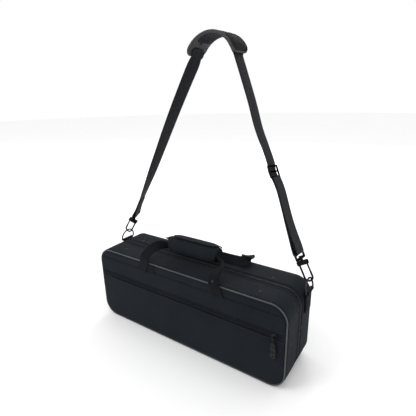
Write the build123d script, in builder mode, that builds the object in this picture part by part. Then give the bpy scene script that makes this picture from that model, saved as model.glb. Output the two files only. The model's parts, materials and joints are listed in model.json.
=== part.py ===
"""Zip-round foam instrument case with a padded shoulder strap.

The case stands on its long edge. The origin is the centre of its base, +X runs along its length, the
front face (with the pocket) looks along -Y and +Z is up. All sizes are in millimetres.
"""
import os
from math import asin, cos, degrees, radians, sin

from build123d import *

# Case body
LENGTH = 510
HEIGHT = 189
DEPTH = 132
CORNER = 36            # corner radius of the big faces
FACE = DEPTH / 2       # distance from the parting plane to each big face
SKIN = 2               # fabric panel thickness
FOAM = 10              # wall of the rigid foam core
LINING = 1
CLEAR = 0.3            # gap between separate pieces
PIPING_R = 2
PIPING_ROOM = 3.4      # bevel of the foam that leaves room for the piping
FOLD_Y = 1.15          # the fold line of the hinge lies this far in front of the parting plane
FOLD_GAP = 0.15        # half gap between the two hinge strips at the fold

# Main zip, half of it on each side of the parting plane
ZIP_BAND = 11          # how far each tape reaches from the parting plane
ZIP_START = 30         # height at which the zip begins on each end
MAIN_SLIDER_Z = 60     # the closed main zip parks its slider low on the left end
COIL_NEAR = 0.8
COIL_FAR = 3.8
RIM = 6                # how far the foam rim stands back from the parting plane

# Sliders and pulls, the same on both zips
PLATE = (10, 14, 1.4)  # width, length and thickness of a slider plate
PIN_R = 1.2
PIN_DROP = 3           # the pull's pin sits this far below the middle of the plate
PIN_HEIGHT = 3.8       # pin axis above the underside of the plate
PULL_T = 2.4
PULL_NECK = 5          # width of the link that hangs on the pin
PULL_WIDTH = 12
PULL_SHOULDER = 12.5   # from the pin down to the wide part of the pull
PULL_LENGTH = 45.5

# Front pocket
POCKET_ZIP_Z = 121.5
POCKET_TAPE = 4.3      # half height of the pocket zip tape
POCKET_DEPTH = 4.6
POCKET_SLIDER_X = 230
POCKET_COIL = (4, 1.2)  # width and height of the pocket zip's coil
POCKET_ROOM = (450, 14, 20)  # length, foot height and corner radius of the recess behind the pocket

# Handles and grip
WEBBING = 25
WEB_T = 2.2
ANCHOR_Z = 166         # the handle feet end at a seam across the face
HANDLE_FOOT_Z = 190.2
GRIP_LENGTH = 130
GRIP_DEPTH = 45
GRIP_HEIGHT = 40.5
GRIP_Z = 219.5
FLAP_FRONT = -6        # front edge of the flap that closes the grip
REAR_LEG_X = 95        # inner edge of each leg of the rear handle, which spreads as it lies down

# Shoulder strap
RING_Y = 36            # the D-rings sit in the rear half
RING_BAR_X = 259.2
RING_BAR_Z = 176
RING_WIRE_R = 1.8
RING_R = 20.8          # mid-wire radius of the D
RING_RISE = 6          # from the straight bar up to the centre of the D's arc
RING_TILT = 9
LEAN = 7.7             # the strap leans back this many degrees
STRAP_WIDTH = 38
STRAP_T = 1.8
HOOK_TILT = 30
HOOK_WIRE_R = 2.0
HOOK_R = 8.4           # mid-wire radius of the hook's bend
HOOK_X = 255
LEFT_TWIST = 25        # the left hook hangs turned on its swivel
EYE_BAR = 55.1         # from the ring wire to the middle of the eye's top bar
EYE_LOW = 39.9         # underside of the eye's frame
EYE_INNER = 45         # underside of the eye's opening
EYE_WIDTH = 46
GLIDE = (46, 26)       # width and height of the tri-glide slider
LOOP_R = 4.1           # webbing centreline round the eye's bar
LOOP_LENGTH = 50
GLIDE_U = 171          # tri-glide slider, measured up the leg from the eye's bar
PAD_T = 9
PAD_WIDTH = 68
PAD_R = 60
PAD_X = 4
PAD_S = 441.5          # centre of the pad's arc, up the strap plane
PAD_HALF_ANGLE = degrees(asin(57.5 / PAD_R))

# Studs
RIVET_R = 4.5
RIVET_H = 2
RIVET_X = 185          # studs on the top sit this far from the middle
RIVET_Z = 100          # height of the studs on the ends

# Instrument bed, in the rear half
BED_FRONT = 14
BED_FLOOR = 48         # y of the bottom of its recesses
BELL = (165, 60)       # x of the bell's middle, and its radius
VALVES = (-45, 190, 112)  # middle x, length and height of the recess for valves and tubing
MOUTHPIPE = ((165, 58), (-40, 18), (-225, 12))  # x and half height of the tapering recess
HOLD_DOWN_X = (-110, 70)
HOLD_DOWN = (30, 150, 2)  # width, length and thickness of a hold-down strap

STRAP = Plane(
    origin=(0, RING_Y, RING_BAR_Z + RING_RISE),
    x_dir=(1, 0, 0),
    z_dir=(0, -cos(radians(LEAN)), sin(radians(LEAN))),
)


def save(piece, name):
    """Label a finished piece and write it."""
    piece.part.label = name
    export_step(piece.part, f"parts/{name}.step")


def across(y):
    """The plane parallel to the big faces at this y, seen from the front."""
    return Plane.XZ.offset(-y)


def span(side, near, far):
    """Two distances from the parting plane as low and high y on the front (-1) or rear (+1) side."""
    return sorted((side * near, side * far))


def outline(inset, mode=Mode.ADD):
    """The rounded outline of the big faces, drawn in by inset."""
    with Locations((0, HEIGHT / 2)):
        RectangleRounded(LENGTH - 2 * inset, HEIGHT - 2 * inset, CORNER - inset, mode=mode)


def band(side, near, far, outer, inner):
    """A ring of the outline between two insets."""
    low, high = span(side, near, far)
    with BuildPart() as ring:
        with BuildSketch(across(high)):
            outline(outer)
            outline(inner, Mode.SUBTRACT)
        extrude(amount=high - low)
    return ring


def tray(side, rim, floor, far, outer, wall, bevel=0):
    """An open tray: walls from rim to far, its floor from floor to far, its face edge bevelled."""
    low, high = span(side, rim, far)
    hole_low, hole_high = span(side, rim, floor)
    with BuildPart() as dish:
        with BuildSketch(across(high)):
            outline(outer)
        extrude(amount=high - low)
        with BuildSketch(across(hole_high)):
            outline(outer + wall)
        extrude(amount=hole_high - hole_low, mode=Mode.SUBTRACT)
        if bevel:
            big_face = dish.faces().sort_by(Axis.Y)[-1 if side > 0 else 0]
            chamfer(big_face.outer_wire().edges(), bevel)
    return dish


# ---------------------------------------------------------------- the two halves
def gusset(side, name):
    save(band(side, ZIP_BAND, FACE - 2 * PIPING_R - CLEAR, 0, SKIN), name)


def piping(side, name):
    y = side * (FACE - PIPING_R)
    with BuildSketch(across(y), mode=Mode.PRIVATE) as track:
        outline(PIPING_R)
    path = track.sketch.face().outer_wire()
    with BuildPart() as welt:
        with BuildSketch(Plane(origin=path @ 0, z_dir=path % 0)):
            Circle(PIPING_R)
        sweep(path=path)
    save(welt, name)


def zip_half(side, tape_name, coil_name, strip_name):
    """Half of the main zip, over the ends and top, and the fabric hinge strip under it."""
    below = (2 * LENGTH, 2 * DEPTH, 2 * ZIP_START)
    with BuildPart() as tape:
        add(band(side, COIL_FAR, ZIP_BAND - CLEAR, 0.4, 1.8).part)
        Box(*below, mode=Mode.SUBTRACT)
    save(tape, tape_name)
    with BuildPart() as coil:
        add(band(side, COIL_NEAR, COIL_FAR, -0.8, 2.2).part)
        Box(*below, mode=Mode.SUBTRACT)
    save(coil, coil_name)
    with BuildPart() as strip:
        add(band(side, FOLD_GAP - side * FOLD_Y, ZIP_BAND - CLEAR, 0, SKIN).part)
        Box(2 * LENGTH, 2 * DEPTH, 2 * (ZIP_START - CLEAR), mode=Mode.INTERSECT)
    save(strip, strip_name)


def rivets(side, top_y, end_y, name):
    """Decorative rivets: two on the top and one on each end of a half."""
    seats = [Plane(origin=(x, side * top_y, HEIGHT), z_dir=(0, 0, 1)) for x in (-RIVET_X, RIVET_X)]
    for end in (-1, 1):
        seats.append(Plane(origin=(end * LENGTH / 2, side * end_y, RIVET_Z), z_dir=(end, 0, 0)))
    with BuildPart() as group:
        with BuildSketch(*seats):
            Circle(RIVET_R)
        extrude(amount=RIVET_H, taper=25)
    save(group, name)


def handle_anchors(side, name):
    """The stitched feet of a handle, leaning inwards up the face."""
    with BuildPart() as feet:
        with BuildSketch(across(side * FACE + (WEB_T if side > 0 else 0))):
            with BuildLine():
                Polyline((-120, ANCHOR_Z), (-95, ANCHOR_Z), (-84, 186), (-109, 186), close=True)
            make_face()
            mirror(about=Plane.YZ)
        extrude(amount=WEB_T)
    save(feet, name)


def front_core():
    """The lid's foam, with a shallow recess in its face that makes room for the front pocket."""
    length, foot, corner = POCKET_ROOM
    with BuildPart() as core:
        add(tray(-1, RIM, FACE - FOAM, FACE - SKIN - 0.1, SKIN + 0.1, FOAM, PIPING_ROOM).part)
        with BuildSketch(across(-(FACE - SKIN - POCKET_DEPTH))):
            with Locations((0, (foot + POCKET_ZIP_Z) / 2)):
                RectangleRounded(length, POCKET_ZIP_Z - foot, corner)
        extrude(amount=POCKET_DEPTH, mode=Mode.SUBTRACT)
    save(core, "front_foam_core")


def face_panels():
    """The front face: pocket panel below the pocket zip and a fixed panel above it."""
    inset = 2 * PIPING_R + CLEAR
    low_edge = POCKET_ZIP_Z - POCKET_TAPE - CLEAR
    high_edge = POCKET_ZIP_Z + POCKET_TAPE + CLEAR
    for name, middle, height in (
        ("pocket_panel", low_edge / 2, low_edge),
        ("front_upper_panel", (high_edge + HEIGHT) / 2, HEIGHT - high_edge),
    ):
        with BuildPart() as panel:
            with BuildSketch(across(-FACE + SKIN)):
                outline(inset)
                with Locations((0, middle)):
                    Rectangle(LENGTH, height, mode=Mode.INTERSECT)
            extrude(amount=SKIN)
        save(panel, name)


def pocket_zip():
    with BuildPart() as tape:
        with BuildSketch(across(-FACE + SKIN)):
            with Locations((0, POCKET_ZIP_Z)):
                Rectangle(LENGTH - 4 * PIPING_R - 2 * CLEAR, 2 * POCKET_TAPE)
        extrude(amount=SKIN - 0.4)
    save(tape, "pocket_zip_tape")
    with BuildPart() as coil:
        with BuildSketch(across(-FACE + 0.4)):
            with Locations((0, POCKET_ZIP_Z)):
                Rectangle(LENGTH - 4 * PIPING_R - 4, POCKET_COIL[0])
        extrude(amount=POCKET_COIL[1], taper=20)
    save(coil, "pocket_zip_coil")


def instrument_bed():
    """A shaped foam block with a recess for the bell, tubing and valves of a trumpet."""
    back, middle = FACE - FOAM - LINING - 0.4, HEIGHT / 2
    upper_edge = [(x, middle + half) for x, half in MOUTHPIPE]
    lower_edge = [(x, middle - half) for x, half in reversed(MOUTHPIPE)]
    bell_x, bell_r = BELL
    valves_x, valves_length, valves_height = VALVES
    with BuildPart() as bed:
        with BuildSketch(across(back)):
            outline(SKIN + FOAM + LINING + 0.6)
        extrude(amount=back - BED_FRONT)
        with BuildSketch(across(BED_FLOOR)):
            with Locations((bell_x, middle)):
                Circle(bell_r)
            with BuildLine():
                Polyline(*upper_edge, *lower_edge, close=True)
            make_face()
            with Locations((valves_x, middle)):
                RectangleRounded(valves_length, valves_height, 25)
        extrude(amount=BED_FLOOR - BED_FRONT, mode=Mode.SUBTRACT)
    save(bed, "instrument_bed")
    width, length, thickness = HOLD_DOWN
    with BuildPart() as straps:
        with BuildSketch(across(BED_FRONT - CLEAR)):
            with Locations(*[(x, middle) for x in HOLD_DOWN_X]):
                Rectangle(width, length)
        extrude(amount=thickness)
    save(straps, "hold_down_straps")


# ---------------------------------------------------------------- zip sliders and pulls
def pull_outline():
    """Half outline of a pull mirrored to a closed one: a narrow link, then a long tapered tab."""
    neck, wide = PULL_NECK / 2, PULL_WIDTH / 2
    half = [(neck, 1.9), (neck, 3 - PULL_SHOULDER), (wide - 1, -PULL_SHOULDER),
            (wide, 6 - PULL_LENGTH), (wide - 3, -PULL_LENGTH)]
    return half + [(-x, y) for x, y in reversed(half)]


def slider_and_pull(at, inner_plate, slider_name, pull_name):
    """A zip slider on the plane at, whose y runs up the pull and z points away from the case."""
    width, length, thick = PLATE
    pin = Plane(origin=at.origin - at.y_dir * PIN_DROP, x_dir=at.x_dir, z_dir=at.z_dir)
    across_pin = Plane(origin=pin.origin, x_dir=at.y_dir, z_dir=at.x_dir)
    with BuildPart() as slider:
        with BuildSketch(at):
            RectangleRounded(width, length, 3)
        extrude(amount=thick)
        with BuildSketch(across_pin):
            with Locations((0, thick + PULL_T / 2 + 1)):
                Rectangle(2.5 * PIN_DROP, PULL_T + 2.1)
            with Locations((0, PIN_HEIGHT)):
                Circle(PIN_R + 0.05, mode=Mode.SUBTRACT)
        extrude(amount=1.2, both=True)
        if inner_plate:
            depth = COIL_FAR
            with BuildSketch(at):
                Rectangle(1, 3)
            extrude(amount=-depth)
            with BuildSketch(at.offset(-depth)):
                RectangleRounded(width, length, 3)
            extrude(amount=-1.2)
    save(slider, slider_name)
    with BuildPart() as pull:
        with BuildSketch(pin.offset(PIN_HEIGHT - PULL_T / 2)):
            with BuildLine():
                Polyline(*pull_outline(), close=True)
            make_face()
            with Locations((0, -2)):
                Rectangle(PULL_NECK - 2, 8, mode=Mode.SUBTRACT)
            with Locations((0, 6 - PULL_LENGTH)):
                Circle(1.8, mode=Mode.SUBTRACT)
        extrude(amount=PULL_T)
        with BuildSketch(across_pin):
            with Locations((0, PIN_HEIGHT)):
                Circle(PIN_R)
        extrude(amount=PULL_NECK / 2, both=True)
    save(pull, pull_name)


# ---------------------------------------------------------------- handles and grip
def webbing_path(points, x_low, x_high):
    """A strip of handle webbing that follows points (y, z) and spans from x_low to x_high."""
    with BuildPart() as strip:
        with BuildSketch(Plane.YZ.offset(x_low)):
            with BuildLine():
                Polyline(*points)
            trace(line_width=WEB_T)
        extrude(amount=x_high - x_low)
    return strip.part


def front_handle():
    """Front webbing loop: two legs that slant in to the grip and the band through it."""
    with BuildPart() as loop:
        arch = [(-67.5, HANDLE_FOOT_Z), (-66, 200), (-50, 211), (-22, GRIP_Z), (9, GRIP_Z)]
        add(webbing_path(arch, -112, 112))
        with BuildSketch(Plane.XY.offset(HEIGHT)):
            with BuildLine():
                Polyline((-110, -70), (-84, -70), (-66.5, -10), (66.5, -10), (84, -70), (110, -70),
                         (88, 8), (-88, 8), close=True)
            make_face()
        extrude(amount=40, mode=Mode.INTERSECT)
    save(loop, "front_handle_webbing")


def rear_handle():
    """Rear webbing loop, flopped down on the case behind the grip."""
    arch = [(67.5, HANDLE_FOOT_Z), (66, 200), (58, 206), (47, 207.5), (42, 205)]
    lying = [(43, 206), (24.5, 192.2)]
    with BuildPart() as loop:
        for low in (-REAR_LEG_X - WEBBING, REAR_LEG_X):
            add(webbing_path(arch, low, low + WEBBING))
        add(webbing_path(lying, -REAR_LEG_X - WEBBING, REAR_LEG_X + WEBBING))
    save(loop, "rear_handle_webbing")


def grip():
    """The padded wrap round the front webbing and its hook-and-loop flap."""
    left_end = Plane.YZ.offset(-GRIP_LENGTH / 2)
    with BuildPart() as wrap:
        with BuildSketch(left_end):
            with Locations((0, GRIP_Z)):
                RectangleRounded(GRIP_DEPTH, GRIP_HEIGHT, GRIP_HEIGHT / 2 - 0.5)
            with Locations((-1, GRIP_Z)):
                Rectangle(18.8, 3.2, mode=Mode.SUBTRACT)
        extrude(amount=GRIP_LENGTH)
    save(wrap, "grip_wrap")
    top = GRIP_Z + GRIP_HEIGHT / 2 + 1.6
    bend_y, bend_r = GRIP_DEPTH / 2 - GRIP_HEIGHT / 2 + 0.5, GRIP_HEIGHT / 2 + 1.1
    with BuildPart() as flap:
        with BuildSketch(left_end):
            with BuildLine():
                flat = Line((FLAP_FRONT, top), (bend_y, top))
                JernArc(start=flat @ 1, tangent=(1, 0), radius=bend_r, arc_size=-55)
            trace(line_width=2.4)
        extrude(amount=GRIP_LENGTH)
    save(flap, "grip_flap")


# ---------------------------------------------------------------- strap hardware
def ring_and_tab(end, ring_name, tab_name):
    """A D-ring whose straight bar lies in a webbing tab sewn to the end of the case."""
    tilt = radians(RING_TILT)
    plane = Plane(
        origin=(end * RING_BAR_X, RING_Y, RING_BAR_Z),
        x_dir=(0, 1, 0),
        z_dir=(cos(tilt), 0, end * sin(tilt)),
    )
    bend = 4
    with BuildPart() as ring:
        with BuildLine(plane) as path:
            Line((-RING_R + bend, 0), (RING_R - bend, 0))
            RadiusArc((RING_R - bend, 0), (RING_R, bend), -bend)
            Line((RING_R, bend), (RING_R, RING_RISE))
            ThreePointArc((RING_R, RING_RISE), (0, RING_RISE + RING_R), (-RING_R, RING_RISE))
            Line((-RING_R, RING_RISE), (-RING_R, bend))
            RadiusArc((-RING_R, bend), (-RING_R + bend, 0), -bend)
        with BuildSketch(Plane(origin=plane.origin, z_dir=(0, 1, 0))):
            Circle(RING_WIRE_R)
        sweep(path=path.wire())
    save(ring, ring_name)

    inner, outer = RING_WIRE_R + CLEAR, RING_WIRE_R + CLEAR + STRAP_T
    wall = LENGTH / 2 + 0.1
    with BuildPart() as tab:
        with BuildSketch(across(RING_Y + 16)):
            with Locations((end * RING_BAR_X, RING_BAR_Z)):
                Circle(outer)
            with Locations((end * (wall + 1.9), (130 + RING_BAR_Z) / 2)):
                Rectangle(3.8, RING_BAR_Z - 130)
            with Locations((end * RING_BAR_X, RING_BAR_Z)):
                Circle(inner, mode=Mode.SUBTRACT)
        extrude(amount=32)
    save(tab, tab_name)


def leg_frame(side, twist):
    """Ring contact point and the plane of a hook: x towards its solid leg, y up its axis."""
    tilt, turn = radians(HOOK_TILT), radians(twist)
    axis = STRAP.x_dir * (-side * sin(tilt)) + STRAP.y_dir * cos(tilt)
    inward = STRAP.x_dir * (-side * cos(tilt)) - STRAP.y_dir * sin(tilt)
    back = STRAP.z_dir * -1
    spin = turn if side < 0 else -turn
    solid_leg = inward * cos(spin) + back * sin(spin)
    origin = STRAP.from_local_coords(Vector(side * HOOK_X, RING_R, 0))
    return Plane(origin=origin, x_dir=solid_leg, z_dir=solid_leg.cross(axis))


def snap_hook(face, hook_name, gate_name, eye_name):
    """A snap hook drawn in its own plane, with its sprung gate and the swivel eye above it."""
    bend_z, nose_z, gate_pin_z = 2.2, 11, 32
    upright = Plane(origin=face.origin, x_dir=face.x_dir, z_dir=face.y_dir)
    with BuildPart() as hook:
        with BuildLine(face) as path:
            Line((-HOOK_R, nose_z), (-HOOK_R, bend_z))
            ThreePointArc((-HOOK_R, bend_z), (0, bend_z - HOOK_R), (HOOK_R, bend_z))
            Line((HOOK_R, bend_z), (HOOK_R, 30))
        with BuildSketch(Plane(origin=path.wire() @ 0, z_dir=path.wire() % 0)):
            Circle(HOOK_WIRE_R)
        sweep(path=path.wire())
        with BuildSketch(face):
            with Locations((0, 32.5)):
                RectangleRounded(23, 9, 2)
        extrude(amount=4, both=True)
        with BuildSketch(face):
            with Locations((-8.2, 31)):
                Rectangle(8, 14)
        extrude(amount=2.2, both=True, mode=Mode.SUBTRACT)
        with BuildSketch(face):
            with Locations((-HOOK_R, gate_pin_z)):
                Circle(1.05)
        extrude(amount=5, both=True, mode=Mode.SUBTRACT)
        for foot, radius, rise in ((36.5, 3.4, 3.0), (39.5, 2.0, 5.8), (45.3, 3.4, 1.5)):
            with BuildSketch(upright.offset(foot)):
                Circle(radius)
            extrude(amount=rise)
    save(hook, hook_name)

    with BuildPart() as gate:
        with BuildSketch(upright.offset(nose_z + CLEAR)):
            with Locations((-HOOK_R, 0)):
                Circle(1.7)
        extrude(amount=33.6 - nose_z)
        with BuildSketch(face):
            with Locations((-HOOK_R, gate_pin_z)):
                Circle(1.0)
        extrude(amount=3.9, both=True)
    save(gate, gate_name)

    eye_plane = Plane(origin=face.origin, x_dir=face.z_dir, z_dir=face.y_dir.cross(face.z_dir) * -1)
    low, high = EYE_LOW, EYE_BAR + STRAP_T
    with BuildPart() as eye:
        with BuildSketch(eye_plane):
            with Locations((0, (low + high) / 2)):
                RectangleRounded(EYE_WIDTH, high - low, 3)
            with Locations((0, (EYE_INNER + EYE_BAR - STRAP_T) / 2)):
                Rectangle(EYE_WIDTH - 6.6, EYE_BAR - STRAP_T - EYE_INNER, mode=Mode.SUBTRACT)
        extrude(amount=STRAP_T, both=True)
        with BuildSketch(upright.offset(low)):
            Circle(3.2)
        extrude(amount=EYE_INNER - low)
        with BuildSketch(upright.offset(low - 1)):
            Circle(2.05)
        extrude(amount=8, mode=Mode.SUBTRACT)
    save(eye, eye_name)


def strap():
    """The webbing legs, tri-glide slider and shoulder pad, all drawn in the leaning strap plane."""
    left_face = leg_frame(-1, LEFT_TWIST)
    right_face = leg_frame(1, 0)
    pad_web_r = PAD_R - PAD_T / 2 - 0.3 - STRAP_T / 2
    turn = radians(PAD_HALF_ANGLE)
    foot_drop = pad_web_r * cos(turn)
    ends = {side: Vector(PAD_X + side * pad_web_r * sin(turn), PAD_S + foot_drop, 0) for side in (-1, 1)}

    left_bar = left_face.from_local_coords(Vector(0, EYE_BAR, 0))
    up_left = (STRAP.from_local_coords(ends[-1]) - left_bar).normalized()
    width_dir = (left_face.z_dir - up_left * left_face.z_dir.dot(up_left)).normalized()
    with BuildPart() as left_end:
        with BuildSketch(Plane(origin=left_bar, x_dir=up_left.cross(width_dir), z_dir=width_dir)):
            with BuildLine():
                Line((-LOOP_R, LOOP_LENGTH), (-LOOP_R, 0))
                ThreePointArc((-LOOP_R, 0), (0, -LOOP_R), (LOOP_R, 0))
                Line((LOOP_R, 0), (LOOP_R, LOOP_LENGTH))
            trace(line_width=STRAP_T)
        extrude(amount=STRAP_WIDTH / 2, both=True)
    save(left_end, "strap_left_end")

    left_start = STRAP.to_local_coords(left_bar + up_left * (LOOP_LENGTH + 1))
    with BuildPart() as left_web:
        with BuildSketch(STRAP):
            with BuildLine():
                Line((left_start.X, left_start.Y), (ends[-1].X, ends[-1].Y - 1.5))
            trace(line_width=STRAP_T)
        extrude(amount=STRAP_WIDTH / 2, both=True)
    save(left_web, "strap_left_webbing")

    right_bar = right_face.from_local_coords(Vector(0, EYE_BAR, 0))
    up_right = (STRAP.from_local_coords(ends[1]) - right_bar).normalized()
    leg = Plane(origin=right_bar, x_dir=up_right.cross(STRAP.z_dir), z_dir=STRAP.z_dir)
    leg_length = (STRAP.from_local_coords(ends[1]) - right_bar).length
    with BuildPart() as right_web:
        with BuildSketch(leg):
            with BuildLine():
                Line((-LOOP_R, leg_length - 1), (-LOOP_R, 0))
                ThreePointArc((-LOOP_R, 0), (0, -LOOP_R), (LOOP_R, 0))
                Line((LOOP_R, 0), (LOOP_R, GLIDE_U - 16))
            trace(line_width=STRAP_T)
        extrude(amount=STRAP_WIDTH / 2, both=True)
    save(right_web, "strap_right_webbing")

    flat = Plane(origin=right_bar, x_dir=leg.z_dir, z_dir=leg.z_dir.cross(up_right))
    with BuildPart() as glide:
        with BuildSketch(flat):
            with Locations((0, GLIDE_U)):
                RectangleRounded(*GLIDE, 3)
            with Locations((0, GLIDE_U - 5.5), (0, GLIDE_U + 5.5)):
                Rectangle(40, 8, mode=Mode.SUBTRACT)
        extrude(amount=1.5, both=True)
    save(glide, "tri_glide_slider")

    for name, radius, thickness, width in (
        ("strap_pad_webbing", pad_web_r, STRAP_T, STRAP_WIDTH),
        ("shoulder_pad", PAD_R, PAD_T, PAD_WIDTH),
    ):
        with BuildPart() as piece:
            with BuildSketch(STRAP):
                with BuildLine():
                    CenterArc((PAD_X, PAD_S), radius, 90 - PAD_HALF_ANGLE, 2 * PAD_HALF_ANGLE)
                trace(line_width=thickness)
            extrude(amount=width / 2, both=True)
        save(piece, name)
    snap_hook(left_face, "left_snap_hook", "left_hook_gate", "left_swivel_eye")
    snap_hook(right_face, "right_snap_hook", "right_hook_gate", "right_swivel_eye")


# ---------------------------------------------------------------- build everything
os.makedirs("parts", exist_ok=True)
for half, half_name in ((-1, "front"), (1, "rear")):
    gusset(half, f"{half_name}_gusset")
    piping(half, f"{half_name}_piping")
    zip_half(half, f"{half_name}_zip_tape", f"{half_name}_zip_coil", f"{half_name}_hinge_strip")
    handle_anchors(half, f"{half_name}_handle_anchors")
    lining = tray(half, RIM, FACE - FOAM - LINING, FACE - FOAM - 0.1, SKIN + FOAM + 0.2, LINING)
    save(lining, f"{half_name}_lining")
rivets(-1, 38, 45, "front_rivets")
rivets(1, 23, 15, "rear_rivets")
front_core()
save(tray(1, RIM, FACE - FOAM, FACE - SKIN - 0.1, SKIN + 0.1, FOAM, PIPING_ROOM), "rear_foam_core")
face_panels()
with BuildPart() as rear_panel:
    with BuildSketch(across(FACE)):
        outline(2 * PIPING_R + CLEAR)
    extrude(amount=SKIN)
save(rear_panel, "rear_panel")
pocket_zip()
instrument_bed()
slider_and_pull(
    Plane(origin=(POCKET_SLIDER_X, -FACE - 1.2, POCKET_ZIP_Z), x_dir=(1, 0, 0), z_dir=(0, -1, 0)),
    False, "pocket_zip_slider", "pocket_zip_pull",
)
slider_and_pull(
    Plane(origin=(-LENGTH / 2 - 1.2, 0, MAIN_SLIDER_Z), x_dir=(0, -1, 0), z_dir=(-1, 0, 0)),
    True, "main_zip_slider", "main_zip_pull",
)
front_handle()
rear_handle()
grip()
ring_and_tab(-1, "left_d_ring", "left_ring_tab")
ring_and_tab(1, "right_d_ring", "right_ring_tab")
strap()
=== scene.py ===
"""Looks of the zip-round instrument case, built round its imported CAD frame.

Lengths here are in millimetres; they become metres where a mesh is made.
"""

import json
from math import acos, cos, pi, radians, sin

import bmesh
import bpy
import numpy as np
from mathutils import Matrix, Vector, noise

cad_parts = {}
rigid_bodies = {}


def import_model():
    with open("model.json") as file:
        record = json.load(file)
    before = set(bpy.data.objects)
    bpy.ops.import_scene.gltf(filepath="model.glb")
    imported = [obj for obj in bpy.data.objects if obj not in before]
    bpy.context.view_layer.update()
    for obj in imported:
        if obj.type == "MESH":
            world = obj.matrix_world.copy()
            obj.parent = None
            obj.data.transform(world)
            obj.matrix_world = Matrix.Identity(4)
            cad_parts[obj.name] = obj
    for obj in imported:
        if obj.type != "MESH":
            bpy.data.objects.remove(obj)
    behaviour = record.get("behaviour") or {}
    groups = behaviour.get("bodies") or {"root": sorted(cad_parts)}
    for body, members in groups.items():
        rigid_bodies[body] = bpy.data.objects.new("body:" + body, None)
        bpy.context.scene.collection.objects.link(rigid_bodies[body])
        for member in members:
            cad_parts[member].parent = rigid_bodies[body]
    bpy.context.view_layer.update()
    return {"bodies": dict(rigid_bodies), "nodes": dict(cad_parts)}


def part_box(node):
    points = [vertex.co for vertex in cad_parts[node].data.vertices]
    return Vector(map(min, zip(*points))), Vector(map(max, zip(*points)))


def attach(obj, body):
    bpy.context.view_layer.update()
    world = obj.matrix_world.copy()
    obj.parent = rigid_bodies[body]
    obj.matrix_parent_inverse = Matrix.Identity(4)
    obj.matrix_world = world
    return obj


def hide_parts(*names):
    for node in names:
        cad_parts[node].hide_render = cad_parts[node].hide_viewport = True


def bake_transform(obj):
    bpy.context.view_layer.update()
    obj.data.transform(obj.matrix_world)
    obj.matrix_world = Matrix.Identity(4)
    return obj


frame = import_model()
nodes = frame["nodes"]
MM = 0.001


def box_mm(node):
    """Lowest and highest corner of a CAD node, in millimetres."""
    low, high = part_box(node)
    return np.array(low) / MM, np.array(high) / MM


# ---- sizes read from the frame
HALF, HEIGHT = box_mm("rear_gusset")[1][[0, 2]]
FACE = box_mm("rear_piping")[1][1]
ZIP_EDGE = box_mm("rear_gusset")[0][1]
ZIP_Z = box_mm("rear_zip_tape")[0][2]
PANEL_IN = HALF - box_mm("rear_panel")[1][0]
POCKET_TOP = box_mm("pocket_panel")[1][2]
UPPER_FOOT = box_mm("front_upper_panel")[0][2]
POCKET_ZIP_Z = (POCKET_TOP + UPPER_FOOT) / 2
HEM_BACK = 2.0  # how far the folded hems stand back from the pocket zip
GRIP_LOW, GRIP_HIGH = box_mm("grip_wrap")
GRIP_X, GRIP_Y = GRIP_HIGH[0], GRIP_HIGH[1]
GRIP_Z = (GRIP_LOW[2] + GRIP_HIGH[2]) / 2
GRIP_H = (GRIP_HIGH[2] - GRIP_LOW[2]) / 2
CORNER = 36  # radius of the big faces' corners
PIPE_R = 2
WELT_R = 1.5  # the piping's fabric, drawn in a little
SEAM_Z = 168  # the seam across the upper front panel
TOOTH_PITCH, POCKET_TOOTH_PITCH = 1.9, 1.6
STITCH_PITCH, BOX_STITCH_PITCH = 3.4, 2.9
ARC = pi * CORNER / 2
SIDE_X, SIDE_Z = 2 * (HALF - CORNER), HEIGHT - 2 * CORNER
AROUND = 2 * (SIDE_X + SIDE_Z) + 4 * ARC
ZIP_S = SIDE_X / 2 + CORNER * acos(1 - ZIP_Z / CORNER)
BODY_OF_SIDE = {-1: "front_shell", 1: "rear_shell"}
WORD = {-1: "front", 1: "rear"}


# ---- materials
def feed(tree, socket, value):
    """Give an input socket a value or a link from another socket."""
    if isinstance(value, bpy.types.NodeSocket):
        tree.links.new(value, socket)
    else:
        socket.default_value = value


def add(tree, kind, inputs=(), **settings):
    """A node with its settings and its first inputs given as sockets or values."""
    made = tree.nodes.new("ShaderNode" + kind)
    for key, value in settings.items():
        setattr(made, key, value)
    for place, value in enumerate(inputs):
        if value is not None:
            feed(tree, made.inputs[place], value)
    return made


def math_node(tree, operation, *values):
    return add(tree, "Math", values, operation=operation).outputs[0]


def rough_noise(tree, where, scale, detail=3.0):
    return add(tree, "TexNoise", (where, None, scale, detail)).outputs["Fac"]


def blend_colour(tree, share, low, high):
    """Mix of two colours, each a tuple or a socket."""
    mix = add(tree, "Mix", (share,), data_type="RGBA")
    for place, colour in ((6, low), (7, high)):
        feed(tree, mix.inputs[place], (*colour, 1) if isinstance(colour, tuple) else colour)
    return mix.outputs[2]


def stretch(tree, value, low, high, to_low=0.0, to_high=1.0):
    return add(tree, "MapRange", (value, low, high, to_low, to_high)).outputs[0]


def start_material(name, rough, specular=0.25, metallic=0.0, sheen=0.0):
    material = bpy.data.materials.new(name)
    material.use_nodes = True
    shader = material.node_tree.nodes["Principled BSDF"]
    for socket, value in (("Roughness", rough), ("Specular IOR Level", specular),
                          ("Metallic", metallic), ("Sheen Weight", sheen), ("Sheen Roughness", 0.5)):
        shader.inputs[socket].default_value = value
    return material, material.node_tree, shader


def bump(tree, shader, height, distance):
    made = add(tree, "Bump", (1.0, distance))
    tree.links.new(height, made.inputs["Height"])
    tree.links.new(made.outputs[0], shader.inputs["Normal"])


def cloth_coordinates(tree):
    """Millimetres along and across a woven piece, from its own attribute."""
    source = add(tree, "Attribute", attribute_name="weave")
    split = add(tree, "SeparateXYZ", (source.outputs["Vector"],))
    return split.outputs[0], split.outputs[1]


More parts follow.
